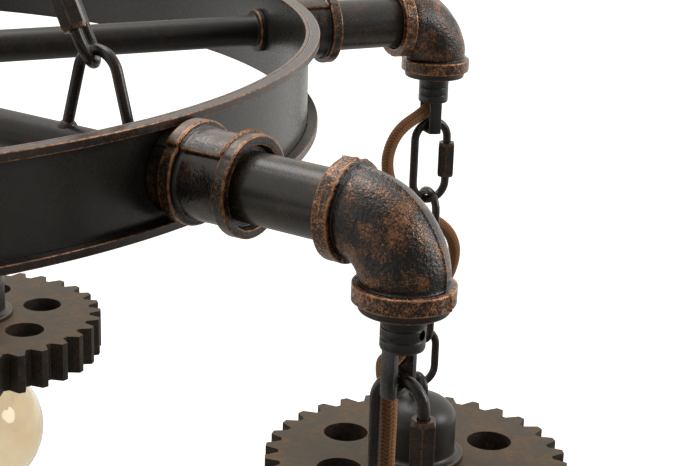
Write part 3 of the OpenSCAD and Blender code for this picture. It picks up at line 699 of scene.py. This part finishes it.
def coupling_mesh():
    """Cast coupling: its upper half stands a little out of the lower one."""
    r, c, bore, end = BARREL_D / 2 - 0.3, COLLAR_D / 2, PIPE_D / 2, COUPLING_END
    first, second = WEB_R + COLLAR_STAND, end - COLLAR_W
    recess = bore + 2.4
    past = first + COLLAR_W
    line = [(r, WEB_R + 0.3), (r, first), (c, first), (c, past), (r + 0.4, past + 0.3), (r, past + 1.5),
            (r, second - 0.8), (r + 0.3, second), (c, second), (c, end), (recess, end),
            (recess - 0.3, end - 3.5), (bore - 0.2, end - 3.5)]
    profile = spaced(rounded(line, 0.7, 4), 1.0)
    turns = close_turns(96, (PARTING, PARTING + math.pi), 0.06)

    def grow(line, angles):
        upper = 1 / (1 + np.exp(-np.sin(angles - PARTING) * 90))
        outside = (line[:, 0] > recess + 0.2)[:, None]
        barrel = ((line[:, 1] > first) & (line[:, 1] < second + 0.5))[:, None]
        return upper[None, :] * np.where(barrel, HALF_STEP + 0.3, 0.25) * outside

    corners, faces = lathe(profile, turns=turns, grow=grow, capped=False)
    size = np.linalg.norm(corners[:, :2], axis=1)
    rough = (lumps(corners, 5.0, 0.16) + lumps(corners, 1.7, 0.05)) * (size > bore + 1)
    skin = corners.copy()
    skin[:, :2] *= (1 + rough / size)[:, None]
    return make_mesh("coupling", moved((corners, faces), ALONG_X), COUPLING,
                     skin=moved((skin, faces), ALONG_X)[0], rub=np.where(size > c - 0.5, COLLAR_RUB, -1))


def elbow_mesh():
    """Cast elbow: banded ends, a bend between them and a parting ridge on its back."""
    band, body, bore = BAND_D / 2, ELBOW_D / 2, PIPE_D / 2
    bend_len = BEND_R * math.pi / 2
    total = bend_len + 2 * BAND_W
    half = [(bore - 0.2, 2.0), (bore + 1.0, 1.5), (bore + 1.4, 0.0), (band, 0.0), (band, BAND_W),
            (body - 0.5, BAND_W + 0.3), (body - 0.3, BAND_W + 1.5), (body, BAND_W + 3)]
    other = [(r, total - s) for r, s in half[::-1]]
    line = spaced(rounded(half + other, 0.7, 4), 0.9)
    size, along = line[:, 0], line[:, 1]
    past = along - BAND_W
    swing = np.clip(past / BEND_R, 0, math.pi / 2)
    path = np.stack([-BEND_R + BEND_R * np.sin(swing) + np.minimum(past, 0), 0 * along,
                     -BEND_R + BEND_R * np.cos(swing) - np.maximum(past - bend_len, 0)], axis=1)
    ways = np.stack([np.cos(swing), 0 * along, -np.sin(swing)], axis=1)
    turns = close_turns(112, (math.pi,), 0.10)
    off = turns - math.pi
    ridge = RIDGE_H / (1 + np.exp((np.abs(off) - 0.035) * 220)) + RIDGE_STEP / (1 + np.exp(-off * 120))
    outside = (size > bore + 1.6)[:, None]
    corners, faces = sweep(path, size, turns, ways=ways, capped=False)
    shape = (len(path), len(turns))
    rough = (lumps(corners, 6.0, 0.22) + lumps(corners, 1.9, 0.07)).reshape(shape)
    flash = (0.5 + lumps(corners, 2.2, 0.8).reshape(shape)) * np.exp(-(off / 0.42) ** 4)[None, :]
    flash = np.maximum(flash, 0) * np.exp(-((past - 0.3) / 1.7) ** 2)[:, None]
    radius = size[:, None] + (ridge[None, :] + rough + flash) * outside
    skin = sweep(path, radius, turns, ways=ways, capped=False)[0]
    bands = np.repeat(np.where(size > body + 0.6, BAND_RUB, -1), len(turns))
    return make_mesh("elbow", (corners, faces), CASTING, skin=skin, rub=bands)


def arm_pieces():
    put_on_arms(coupling_mesh(), "coupling", "couplings")
    put_on_arms(elbow_mesh(), "elbow", "elbows", under_arm)
    r, b, low = PIPE_D / 2, BUSHING_D / 2, ELBOW_LOW
    pipe = spaced(np.array([(r, COUPLING_END - 8), (r, ELBOW_START + 8)]), 4)
    put_on_arms(make_mesh("pipe", moved(lathe(pipe, 96), ALONG_X), PIPE), "pipe", "pipe_nipples")
    disc = turned([(6.3, low + 5), (6.3, NECK_Z), (b - 0.4, NECK_Z), (b, NECK_Z + 0.8), (b, low + 0.4),
                   (r, low + 0.4), (r, low + 5)], 0.5, 96, closed=True)
    put_on_arms(make_mesh("bushing", disc, FLANGE), "bushing", "bushings", under_arm)


def bare_cuts(mesh):
    """Marks the cut faces round the window as bare metal."""
    for face in mesh.polygons:
        inside = abs(face.center.y) < (WINDOW_W / 2 + 0.1) * MM
        if inside and face.material_index == 0:
            face.material_index = 2
    return mesh


def hang_loop_mesh():
    """Turned neck with grooves and a side hole, and a yoke with a window."""
    n, y, bore = NECK_D / 2, YOKE_D / 2, CORD_BORE / 2
    line = [(bore, NECK_Z + 6), (6, NECK_Z + 6), (6, NECK_Z), (n, NECK_Z)]
    for share in (0.4, 0.7):
        groove = NECK_Z - share * NECK_H
        line += [(n, groove + 0.35), (n - 0.35, groove + 0.15), (n - 0.35, groove - 0.15),
                 (n, groove - 0.35)]
    line += [(n, WINDOW_Z + 1), (y + 0.2, WINDOW_Z), (bore + 1, WINDOW_Z), (bore, WINDOW_Z + 2.5)]
    neck = lathe(rounded(line, 0.25, 2, closed=True)[::-1], 72, True)
    hole = moved(lathe([(SIDE_HOLE_D / 2, bore - 1), (SIDE_HOLE_D / 2, 2 * n)], 28), ALONG_X)
    meshes = [cut(neck, moved(hole, shift(z=NECK_Z - 0.55 * NECK_H)))]
    arc = np.linspace(math.acos(YOKE_FRONT / y), math.pi - math.acos(YOKE_BACK / y), 20)
    prong = [(-YOKE_BACK, WINDOW_W / 2), (YOKE_FRONT, WINDOW_W / 2)]
    prong += [(y * math.cos(t), y * math.sin(t)) for t in arc]
    other = [(u, -w) for u, w in prong[::-1]]
    bow = (QL_W - QL_WIRE) / 2
    room = bow - QL_WIRE / 2 - 0.3
    axis_z = LINK_HIGH - QL_WIRE / 2 - bow
    crown = np.linspace(-math.asin(YOKE_BACK / room), math.asin(YOKE_FRONT / room), 12)
    lip = [(YOKE_FRONT, YOKE_Z), (-YOKE_BACK, YOKE_Z)]
    lip += [(room * math.sin(t), axis_z + room * math.cos(t)) for t in crown]
    parts = [prism(outline, YOKE_Z, WINDOW_Z + 0.6) for outline in (prong, other)]
    parts.append(moved(prism(lip, -WINDOW_W / 2 - 0.4, WINDOW_W / 2 + 0.4), turn(90, "X")))
    meshes += [bare_cuts(bevelled(plain_mesh(part), 0.3)) for part in parts]
    return finished(merged("hang_loop", meshes), LOOP, 35)


# Links and chains

def quick_link_shape():
    """A hook of wire, closed by a hex sleeve at +X."""
    path = oval_path(QL_LEN, QL_W, QL_WIRE, 20, 12)
    sleeve_side = (path[:, 0] > 0) & (np.abs(path[:, 2]) < QL_OPEN / 2)
    path = path[~sleeve_side]
    upper = (path[:, 0] > 0) & (path[:, 2] > 0)
    first = int(np.argmin(np.where(upper, path[:, 2], QL_LEN)))
    wire = sweep(np.roll(path, -first, axis=0), QL_WIRE / 2, even_turns(20))
    sleeve = hex_sleeve(QL_NUT_D, QL_NUT_LEN, QL_WIRE / 2 + 0.15, 1.0)
    return joined(wire, moved(sleeve, shift(x=(QL_W - QL_WIRE) / 2)))


def drop_chain_shape():
    top = CHAIN_HIGH - CHAIN_LEN / 2
    link = oval_link(CHAIN_LEN, CHAIN_W, CHAIN_WIRE)
    return joined(*[moved(link, shift(z=top - i * CHAIN_STEP) @ turn(90 * ((i + 1) % 2), "Z"))
                    for i in range(DROP_LINKS)])


def leg_places():
    """Places of the links of a suspension leg, from the middle of the lug's arch, and the leg's lean."""
    ql_span, chain_span = QL_LEN - QL_WIRE, CHAIN_LEN - CHAIN_WIRE
    between = (QL_WIRE + CHAIN_WIRE) / 2 + CHAIN_GAP
    ql_low = LUG_ARCH_R - (QL_WIRE + LUG_WIRE) / 2 - CHAIN_GAP
    chain_low = ql_low + ql_span - between
    ql_high = chain_low + (LEG_LINKS - 1) * CHAIN_STEP + chain_span - between
    top = ql_high + ql_span - (QL_WIRE + TOP_RING_WIRE) / 2 - CHAIN_GAP
    lean = math.degrees(math.asin((LUG_R - TOP_RING_R) / top))
    middles = [ql_low + ql_span / 2]
    middles += [chain_low + chain_span / 2 + i * CHAIN_STEP for i in range(LEG_LINKS)]
    middles.append(ql_high + ql_span / 2)
    # Each link stands a quarter turn from its neighbours, and the leg twists a little
    turns = [-90 * ((i + 1) % 2) + LEG_TWIST * (1 - i / (LEG_LINKS + 1)) for i in range(len(middles))]
    return [shift(z=z) @ turn(degrees, "Z") for z, degrees in zip(middles, turns)], lean


def suspension_pieces():
    arch_z = LUG_RISE - LUG_ARCH_R
    places, lean = leg_places()
    link = make_mesh("leg_quick_link", quick_link_shape(), LINK)
    oval = oval_link(CHAIN_LEN, CHAIN_W, CHAIN_WIRE)
    chain = make_mesh("leg_chain", joined(*[moved(oval, place) for place in places[1:-1]]), LINK)
    lug = make_mesh("lug_wire", lug_shape(), LINK)
    for k in LEGS:
        foot = turn(120 * k, "Z") @ shift(LUG_R, 0, RING_Z + arch_z)
        leg = foot @ turn(-lean, "Y")
        put(lug, f"lug_{k + 1}", "lugs", foot)
        put(chain, f"leg_chain_{k + 1}", "suspension_chains", leg)
        for name, place in (("lug_link", places[0]), ("ring_link", places[-1])):
            put(link, f"{name}_{k + 1}", "suspension_links", leg @ place)


def lug_shape():
    """A bent wire arch whose feet stand on a spoke, with a weld round each foot."""
    drop = LUG_RISE - LUG_ARCH_R - SPOKE_D / 2
    reach = math.hypot(LUG_W / 2, drop)
    spread = math.acos(LUG_ARCH_R / reach) - math.atan2(drop, LUG_W / 2)
    length = math.sqrt(reach ** 2 - LUG_ARCH_R ** 2)
    arc = np.linspace(spread, math.pi - spread, 22)
    arch = [(LUG_ARCH_R * math.cos(t), 0, LUG_ARCH_R * math.sin(t)) for t in arc]
    way = np.array([math.sin(spread), 0, -math.cos(spread)])
    right = [tuple(np.array(arch[0]) + way * length * s) for s in np.linspace(1, 0, 10)[:-1]]
    left = [(-x, y, z) for x, y, z in right[::-1]]
    wire = sweep(right + arch + left, LUG_WIRE / 2, even_turns(20), (0, -1, 0))
    bead = turned([(0.1, -1.5), (4.2, -1.5), (3.6, 0.4), (2.4, 1.6), (0.1, 1.6)], 0.8, 24)
    return joined(wire, *[moved(bead, shift(x=s * LUG_W / 2, z=-drop)) for s in (-1, 1)])


def top_pieces():
    link = moved(oval_link(TOP_LINK_HIGH - TOP_LINK_LOW, TOP_LINK_W, TOP_WIRE), turn(90, "Z"))
    put_shape(link, BRONZE, "top_link_wire", "top_link", shift(z=(TOP_LINK_HIGH + TOP_LINK_LOW) / 2))
    bar = sweep([(-TOP_RING_R, 0, 0), (0, 0, 0), (TOP_RING_R, 0, 0)], TOP_BAR_D / 2, even_turns(24))
    ring = joined(moved(wire_ring(TOP_RING_R, TOP_RING_WIRE, 96), turn(90, "X")),
                  moved(bar, turn(TOP_BAR_TURN, "Z")),
                  moved(wire_ring(TOP_EYE_R, TOP_WIRE), shift(z=TOP_EYE_R)))
    put_shape(ring, BRONZE, "gather_ring", "top_ring", shift(z=TOP_RING_LOW + TOP_RING_WIRE / 2))


def canopy_pieces():
    rim, flat, hole = CANOPY_D / 2, CANOPY_FLAT_D / 2, STEM_D / 2 + 0.15
    low, wall = -CANOPY_H, CANOPY_WALL
    outer = [(rim - wall, 0), (rim, 0), (rim, -CANOPY_RIM_H), (flat + 8, low + 5), (flat, low), (hole, low),
             (hole, low + wall), (flat, low + wall), (flat + 8, low + 5 + wall),
             (rim - wall, -CANOPY_RIM_H + 0.6)]
    shell = lathe(rounded(outer, 1.6, 5, True)[::-1], 160, True)
    put_shape(shell, BRONZE, "canopy_shell", "ceiling_canopy")
    collar = low - LOOP_COLLAR_H
    eye = LOOP_LOW + TOP_WIRE / 2 + TOP_EYE_R
    c, s = LOOP_COLLAR_D / 2, STEM_D / 2
    foot = eye + TOP_EYE_R
    stem = turned([(0.1, foot), (s, foot), (s, collar), (c - 2, collar), (c, collar + 2), (c, low), (s, low),
                   (s, -0.4), (0.1, -0.4)], 0.7, 48)
    nut = moved(hex_sleeve(18, 6, s + 0.15, 0.6), shift(z=-5.5))
    loop = joined(stem, moved(wire_ring(TOP_EYE_R, TOP_WIRE), shift(z=eye)), nut)
    put_shape(loop, BRONZE, "canopy_hanger", "canopy_loop")
    bar = frame["nodes"]["mounting_bar"]
    bar.data.materials.clear()
    bar.data.materials.append(ZINC)


# Pendants

def cup_mesh(side):
    """Domed cup with a base ring, a chain eye and a gland on the side where the cord comes down."""
    r, inner, base, g = CUP_D / 2, CUP_D / 2 - CUP_WALL, CUP_BASE_D / 2, GLAND_D / 2
    eye_z = CUP_HIGH - EYE_WIRE / 2 - EYE_R
    crown = eye_z - 4
    spring, rim = crown - DOME_H, CUP_LOW + CUP_BASE_H
    arc = np.linspace(math.radians(4), math.pi / 2, 14)
    dome = [(r * math.sin(t), spring + DOME_H * math.cos(t)) for t in arc]
    under = [(inner * math.sin(t), spring + (DOME_H - CUP_WALL) * math.cos(t)) for t in arc]
    foot = rounded([dome[-1], (r, rim + 1.5), (r + 1.5, rim), (base, rim), (base, CUP_LOW), (inner, CUP_LOW),
                    under[-1]], 0.9, 4)
    line = np.array(dome[:-1] + [tuple(p) for p in foot] + under[:-1][::-1])
    shell = lathe(line[::-1], 96, True)
    gland = turned([(4.1, spring + 2), (g, spring + 2), (g, crown - 2.6), (g - 1.2, crown - 1),
                    (4.1, crown - 1)], 0.6, 36, closed=True)
    gland = moved(gland, shift(side * GLAND_SIDE, GLAND_SIDE))
    eye = moved(wire_ring(EYE_R, EYE_WIRE, 48), shift(z=eye_z) @ turn(90, "Z"))
    seat = turned([(0.1, -1), (6, -1), (6, 1.2), (3, 2.4), (0.1, 2.4)], 0.8, 36)
    return make_mesh("socket_cup", joined(shell, gland, eye, moved(seat, shift(z=crown))), CUP)


def gear_outline():
    tip, root = GEAR_D / 2, GEAR_D / 2 - TOOTH_DEPTH
    pitch = 2 * math.pi / GEAR_TEETH
    steps = ((root, -ROOT_SHARE), (tip, -TIP_SHARE), (tip, TIP_SHARE), (root, ROOT_SHARE))
    corners = [(r, (i + share) * pitch + TOOTH_TURN) for i in range(GEAR_TEETH) for r, share in steps]
    return [(r * math.cos(t), r * math.sin(t)) for r, t in corners]


def circle(radius, steps, x=0.0, y=0.0):
    return [(x + radius * math.cos(t), y + radius * math.sin(t)) for t in even_turns(steps)]


def filled(outlines, height):
    """A flat face inside the first outline, with the others as holes."""
    curve = bpy.data.curves.new("fill", "CURVE")
    curve.dimensions = "2D"
    curve.fill_mode = "BOTH"
    for outline in outlines:
        line = curve.splines.new("POLY")
        line.points.add(len(outline) - 1)
        for point, (x, y) in zip(line.points, outline):
            point.co = (x * MM, y * MM, 0, 1)
        line.use_cyclic_u = True
    mesh = evaluated(linked("fill", curve))
    mesh.transform(shift(z=height * MM))
    return mesh


def gear_mesh(degrees):
    """Thick toothed wheel with holes right through, and a recess for the lamp below, turned by an angle."""
    top, under, low = CUP_LOW, CUP_LOW - GEAR_PLATE, GEAR_LOW
    outer = gear_outline()
    recess = circle(SHADE_RING_D / 2 + RECESS_GAP, 96)
    bore = circle(HOLDER_R + 0.3, 64)
    holes = [circle(GEAR_HOLE_D / 2, 48, *middle) for middle in circle(GEAR_HOLE_R, GEAR_HOLES)]
    meshes = [filled([outer, bore] + holes, top), filled([recess, bore], under),
              filled([outer, recess] + holes, low)]
    walls = [(outer, low, top), (recess, low, under), (bore, under, top)]
    walls += [(hole, low, top) for hole in holes]
    for outline, a, b in walls:
        corners, faces = prism(outline, a, b)
        meshes.append(plain_mesh((corners, faces[:-2])))
    shell = bevelled(merged("gear", meshes, weld=True), 0.6, 3)
    shell.transform(turn(degrees, "Z"))
    finished(shell, GEAR, 20)
    for face in shell.polygons:
        face.use_smooth = abs(face.normal.z) < 0.99
    return shell


def holder_mesh():
    """Lampholder with a ribbed skirt, and the shade ring that clamps the gear."""
    r, s, cap = HOLDER_R, SHADE_RING_D / 2, CAP_D / 2 + 0.2
    top, low, inside = CUP_LOW + HOLDER_UP, HOLDER_LOW, HOLDER_LOW + CAP_H
    body = turned([(0.1, inside), (cap, inside), (cap, low), (r, low), (r, top - 3), (r - 3, top),
                   (0.1, top)], 0.8, 72, 4)
    ring_top = CUP_LOW - GEAR_PLATE
    clamp = rounded([(r + 0.2, ring_top), (r + 0.2, ring_top - SHADE_RING_H), (s, ring_top - SHADE_RING_H),
                     (s, ring_top)], 0.8, 3, True)

    def ribs(profile, angles):
        return np.where(profile[:, :1] > s - 1, 0.35 * (np.cos(48 * angles)[None, :] - 1), 0)

    return make_mesh("lampholder", joined(body, lathe(clamp, 288, True, grow=ribs)), HOLDER)


def bulb_mesh():
    """Globe of glass with a drawn-in neck, on its cap."""
    r, centre = BULB_D / 2, BULB_LOW + BULB_D / 2
    shoulder = math.radians(52)
    arc = [(r * math.sin(t), centre - r * math.cos(t)) for t in np.linspace(0.01, math.pi - shoulder, 44)]
    start = np.array(arc[-1])
    end = np.array([CAP_D / 2 - 0.3, HOLDER_LOW - 0.1])
    leave = start + 15 * np.array([-math.cos(shoulder), math.sin(shoulder)])
    reach = end - [0, 14]
    neck = [(1 - t) ** 3 * start + 3 * t * (1 - t) ** 2 * leave + 3 * t * t * (1 - t) * reach + t ** 3 * end
            for t in np.linspace(0, 1, 16)[1:]]
    outer = np.array(arc + [tuple(p) for p in neck])
    facing = np.gradient(outer, axis=0)
    facing = np.stack([facing[:, 1], -facing[:, 0]], 1) / np.linalg.norm(facing, axis=1)[:, None]
    inner = outer - facing * GLASS_T
    inner[:, 0] = np.maximum(inner[:, 0], 0.05)
    return make_mesh("bulb_glass", lathe(np.concatenate([outer, inner[::-1]]), 96, True), AMBER, 80)


def filament_mesh():
    """Stem and looped filament inside the globe, and the threaded cap."""
    cap, low, top = CAP_D / 2, HOLDER_LOW, HOLDER_LOW + CAP_H
    threads = [(cap - 0.5 * (i % 2), low + 2 + 1.5 * i) for i in range(11)]
    shell = turned([(0.1, low), (cap, low)] + threads + [(cap - 4, top - 1), (0.1, top - 0.2)], 0.5, 48)
    stem = turned([(0.1, low - 34), (2.2, low - 34), (2.6, low - 14), (8, low), (0.1, low)], 1.5, 24)
    loops = 5
    around = np.linspace(0, 2 * math.pi * loops, 20 * loops + 1)
    radius = 11 + 2 * np.cos(around * 1.6)
    path = np.stack([radius * np.cos(around / loops), radius * np.sin(around / loops),
                     low - 56 + 24 * np.sin(around)], axis=1)
    wire = sweep(path, 0.35, even_turns(8), (0, 0, 1))
    return make_mesh("bulb_inside", joined(shell, stem, wire), ZINC)


def pendant_pieces():
    put_on_arms(hang_loop_mesh(), "hang_loop", "hang_loops", under_arm)
    link = moved(quick_link_shape(), shift(z=(LINK_LOW + LINK_HIGH) / 2))
    put_on_arms(make_mesh("quick_link", link, LINK), "link", "quick_link", under_arm)
    put_on_arms(make_mesh("drop_chain", drop_chain_shape(), LINK), "drop_chain", "chain", under_arm)
    cups = [cup_mesh(-1), cup_mesh(1)]
    for k in ARMS:
        put(cups[k % 2], f"cup_{k}", f"socket_cup_{k}", under_arm(k))
    gears = [gear_mesh(degrees) for degrees in (0, 30, 60)]
    for k in ARMS:
        # The rest of the turn is a multiple of 90 degrees, so the gear's box stays close
        degrees = 60 * (k - 1) % 90
        put(gears[degrees // 30], f"gear_{k}", f"gear_shade_{k}", under_arm(k) @ turn(-degrees, "Z"))
    put_on_arms(holder_mesh(), "holder", "lampholder", under_arm)
    put_on_arms(bulb_mesh(), "globe", "bulb", under_arm)
    put_on_arms(filament_mesh(), "bulb_inside", "bulb", under_arm)


# Cords

def smooth_route(points, step):
    """A smooth curve through the points of a route, with samples about step apart."""
    p = np.array(points, float)
    p = np.concatenate([[2 * p[0] - p[1]], p, [2 * p[-1] - p[-2]]])
    out = []
    for a, b, c, d in zip(p, p[1:], p[2:], p[3:]):
        count = max(2, math.ceil(np.linalg.norm(c - b) / step))
        for t in np.arange(count) / count:
            out.append(0.5 * (2 * b + (c - a) * t + (2 * a - 5 * b + 4 * c - d) * t * t
                              + (3 * b - a - 3 * c + d) * t ** 3))
    return np.array(out + [p[-2]])


def carried_frames(path):
    """Two directions across the path at each point, carried along it without twist."""
    ways = np.gradient(path, axis=0)
    ways /= np.linalg.norm(ways, axis=1)[:, None]
    side = np.array([1.0, 0, 0])
    sides = []
    for way in ways:
        side = side - way * (side @ way)
        side /= np.linalg.norm(side)
        sides.append(side)
    sides = np.array(sides)
    return sides, np.cross(ways, sides)


def braid_height(along, turns):
    """Herringbone braid: slanted stitches that meet in columns, from 0 to 1."""
    columns, stitch = 6, 0.0016
    column = np.mod(turns / (2 * math.pi) * columns, 1)
    slant = np.abs(column - 0.5) * 2
    phase = along[:, None] / stitch + 0.8 * slant[None, :]
    stitches = np.abs(np.sin(math.pi * phase))
    furrow = 1 - 0.6 * np.exp(-((1 - slant) / 0.16) ** 2) - 0.35 * np.exp(-(slant / 0.12) ** 2)
    return stitches * furrow[None, :]


def cord_piece(name, path, sides, fronts, along, tuck):
    """One stretch of a cord as a braided tube. tuck takes from the radius at each point."""
    turns = even_turns(48)
    height = braid_height(along, turns)
    radius = CORD_D / 2 - STRAND_H + STRAND_H * height - tuck[:, None]
    faces = strip(len(path), len(turns), False, True)
    mesh = plain_mesh((tube(path, radius, turns, sides, fronts), faces), name, 1)
    mesh.materials.append(BRAID)
    mesh.shade_smooth()
    keep(mesh, "strand", height)
    return linked(name, mesh)


def metres_under(k, z):
    """A point on the axis of elbow k, at a height over the middle of the ring."""
    return tuple((under_arm(k) @ Vector((0, 0, z))) * MM)


def cord_pieces():
    """Each cord in two stretches, which meet at a seam height.

    A stretch goes on a little inside the other one, so that no seam shows.
    """
    for k in ARMS:
        place = under_arm(k)
        route = smooth_route(np.array(CORD_CLOSE if k % 2 else CORD_BOWED) / 10000, CORD_STEP)
        path = route @ np.array(place.to_3x3()).T + np.array(place.translation) * MM
        sides, fronts = carried_frames(path)
        along = np.concatenate([[0], np.cumsum(np.linalg.norm(np.diff(path, axis=0), axis=1))])
        middle = int(np.argmax(path[:, 2] < (RING_Z + SEAM_Z) * MM))
        spots = np.arange(len(path))
        stretches = ((f"cord_upper_{k}", slice(0, middle + 1), "fixture", f"link_{k}", LINK_BEND),
                     (f"cord_lower_{k}", slice(middle, None), f"link_{k}", f"pendant_{k}", PENDANT_BEND))
        for name, part, held, swung, (start, end) in stretches:
            past = np.maximum(spots[part][0] - spots, spots - spots[part][-1])
            near = past <= len(SEAM_TUCK)
            tuck = np.where(past > 0, np.take(SEAM_TUCK, past - 1, mode="clip"), 0)
            piece = cord_piece(name, path[near], sides[near], fronts[near], along[near], tuck[near])
            metres_under(k, start)
            metres_under(k, end)
            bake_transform(piece)
            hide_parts(f"cord_{k}")


# Stage

CAMERA_MM = (669.1426, -481.6439, 180.5507)
CAMERA_YAW, CAMERA_PITCH, CAMERA_ROLL = 2.1586, -0.3156, 0.0348
CAMERA_FOCUS_PX, PHOTO_W = 1722.4457, 700
FLOOR_Z, FLOOR_REACH = -2.4, 40
# The way to the dim side of the studio
DIM_SIDE = (0.80, -0.60, 0)


def camera():
    """The photograph's camera; its place counts from the middle of the ring."""
    data = bpy.data.cameras.new("camera")
    data.sensor_width = 36
    data.lens = CAMERA_FOCUS_PX * data.sensor_width / PHOTO_W
    data.clip_start = 0.01
    spins = ((CAMERA_YAW - math.pi / 2, "Z"), (CAMERA_PITCH + math.pi / 2, "X"), (CAMERA_ROLL, "Z"))
    place = Matrix.Translation((Vector(CAMERA_MM) + Vector((0, 0, RING_Z))) * MM)
    for angle, axis in spins:
        place = place @ Matrix.Rotation(angle, 4, axis)
    found = linked("camera", data)
    found.matrix_world = place
    bpy.context.scene.camera = found


def shown_rays(tree):
    """1 for rays that show the white background, from the camera or through glass, and 1 for glossy rays."""
    path = tree.nodes.new("ShaderNodeLightPath").outputs
    seen, through, glossy = (Value(path[f"Is {kind} Ray"]) for kind in ("Camera", "Transmission", "Glossy"))
    return seen.math("MAXIMUM", through), glossy


def toward_dim(way):
    """How far a vector goes to the dim side."""
    return way.vector("DOT_PRODUCT", DIM_SIDE, "Value")


def brightness(front):
    """Light from a side of the studio, by its share of the way to the dim side."""
    return front.ramp(0.15, 0.75, 1.0, 0.24)


def world():
    """White studio, dim on the side that the photographer stands on."""
    made = bpy.data.worlds.new("studio")
    made.use_nodes = True
    bpy.context.scene.world = made
    tree = made.node_tree
    shown, glossy = shown_rays(tree)
    way = add_node(tree, "ShaderNodeTexCoord", "Generated")
    light = brightness(toward_dim(way)) * glossy.ramp(0.0, 1.0, 0.55, 1.0)
    feed(tree.nodes["Background"], {"Color": shown.mix((1.0, 0.975, 0.92), (1.0, 1.0, 1.0)),
                                    "Strength": light.math("MAXIMUM", shown)})


def floor():
    """Pale floor, painted darker towards the dim side as painted studio shade, which shines in the metals
    where it is far away.
    """
    corners = [(x * FLOOR_REACH, y * FLOOR_REACH, FLOOR_Z) for x, y in ((-1, -1), (1, -1), (1, 1), (-1, 1))]
    mesh = plain_mesh((corners, [(0, 1, 2, 3)]), "floor", 1)
    material, tree, bsdf = new_material("floor_paint")
    mesh.materials.append(material)
    place = add_node(tree, "ShaderNodeNewGeometry", "Position")
    front = toward_dim(place)
    level = place.vector("MULTIPLY", (1, 1, 0))
    away = add_node(tree, "ShaderNodeVectorMath", "Value", {0: level}, operation="LENGTH")
    shown, glossy = shown_rays(tree)
    lift = shown * away.ramp(1.0, 3.0, 0.6, 1.0, "LINEAR")
    sheen = brightness(front.math("DIVIDE", away)) * away.ramp(4.0, 7.0) * glossy * 0.65
    # The base colour darkens towards the dim side: painted shade that darkens what the metals reflect there
    feed(bsdf, {"Base Color": front.ramp(0.3, 2.0).mix((0.75, 0.735, 0.70), (0.30, 0.29, 0.27)),
                "Roughness": 0.9, "Emission Color": (1, 1, 1, 1),
                "Emission Strength": lift.math("MAXIMUM", sheen)})
    piece = linked("floor", mesh)


def lights():
    aim = Vector((0.2, -0.1, RING_Z * MM))
    for name, spot, size, power in (("overhead", (-0.4, 0.3, 1.3), 1.6, 26),
                                    ("right_side", (2.0, 1.2, 0.3), 1.2, 20)):
        data = bpy.data.lights.new(name, "AREA")
        data.shape = "DISK"
        data.size = size
        data.energy = power
        lamp = linked(name, data)
        lamp.location = spot
        lamp.rotation_euler = (aim - Vector(spot)).to_track_quat("-Z", "Y").to_euler()


bpy.context.scene.view_settings.view_transform = "Standard"
camera()
world()
floor()
lights()
cord_pieces()
ring_pieces()
spoke_pieces()
hub_pieces()
arm_pieces()
suspension_pieces()
top_pieces()
canopy_pieces()
pendant_pieces()
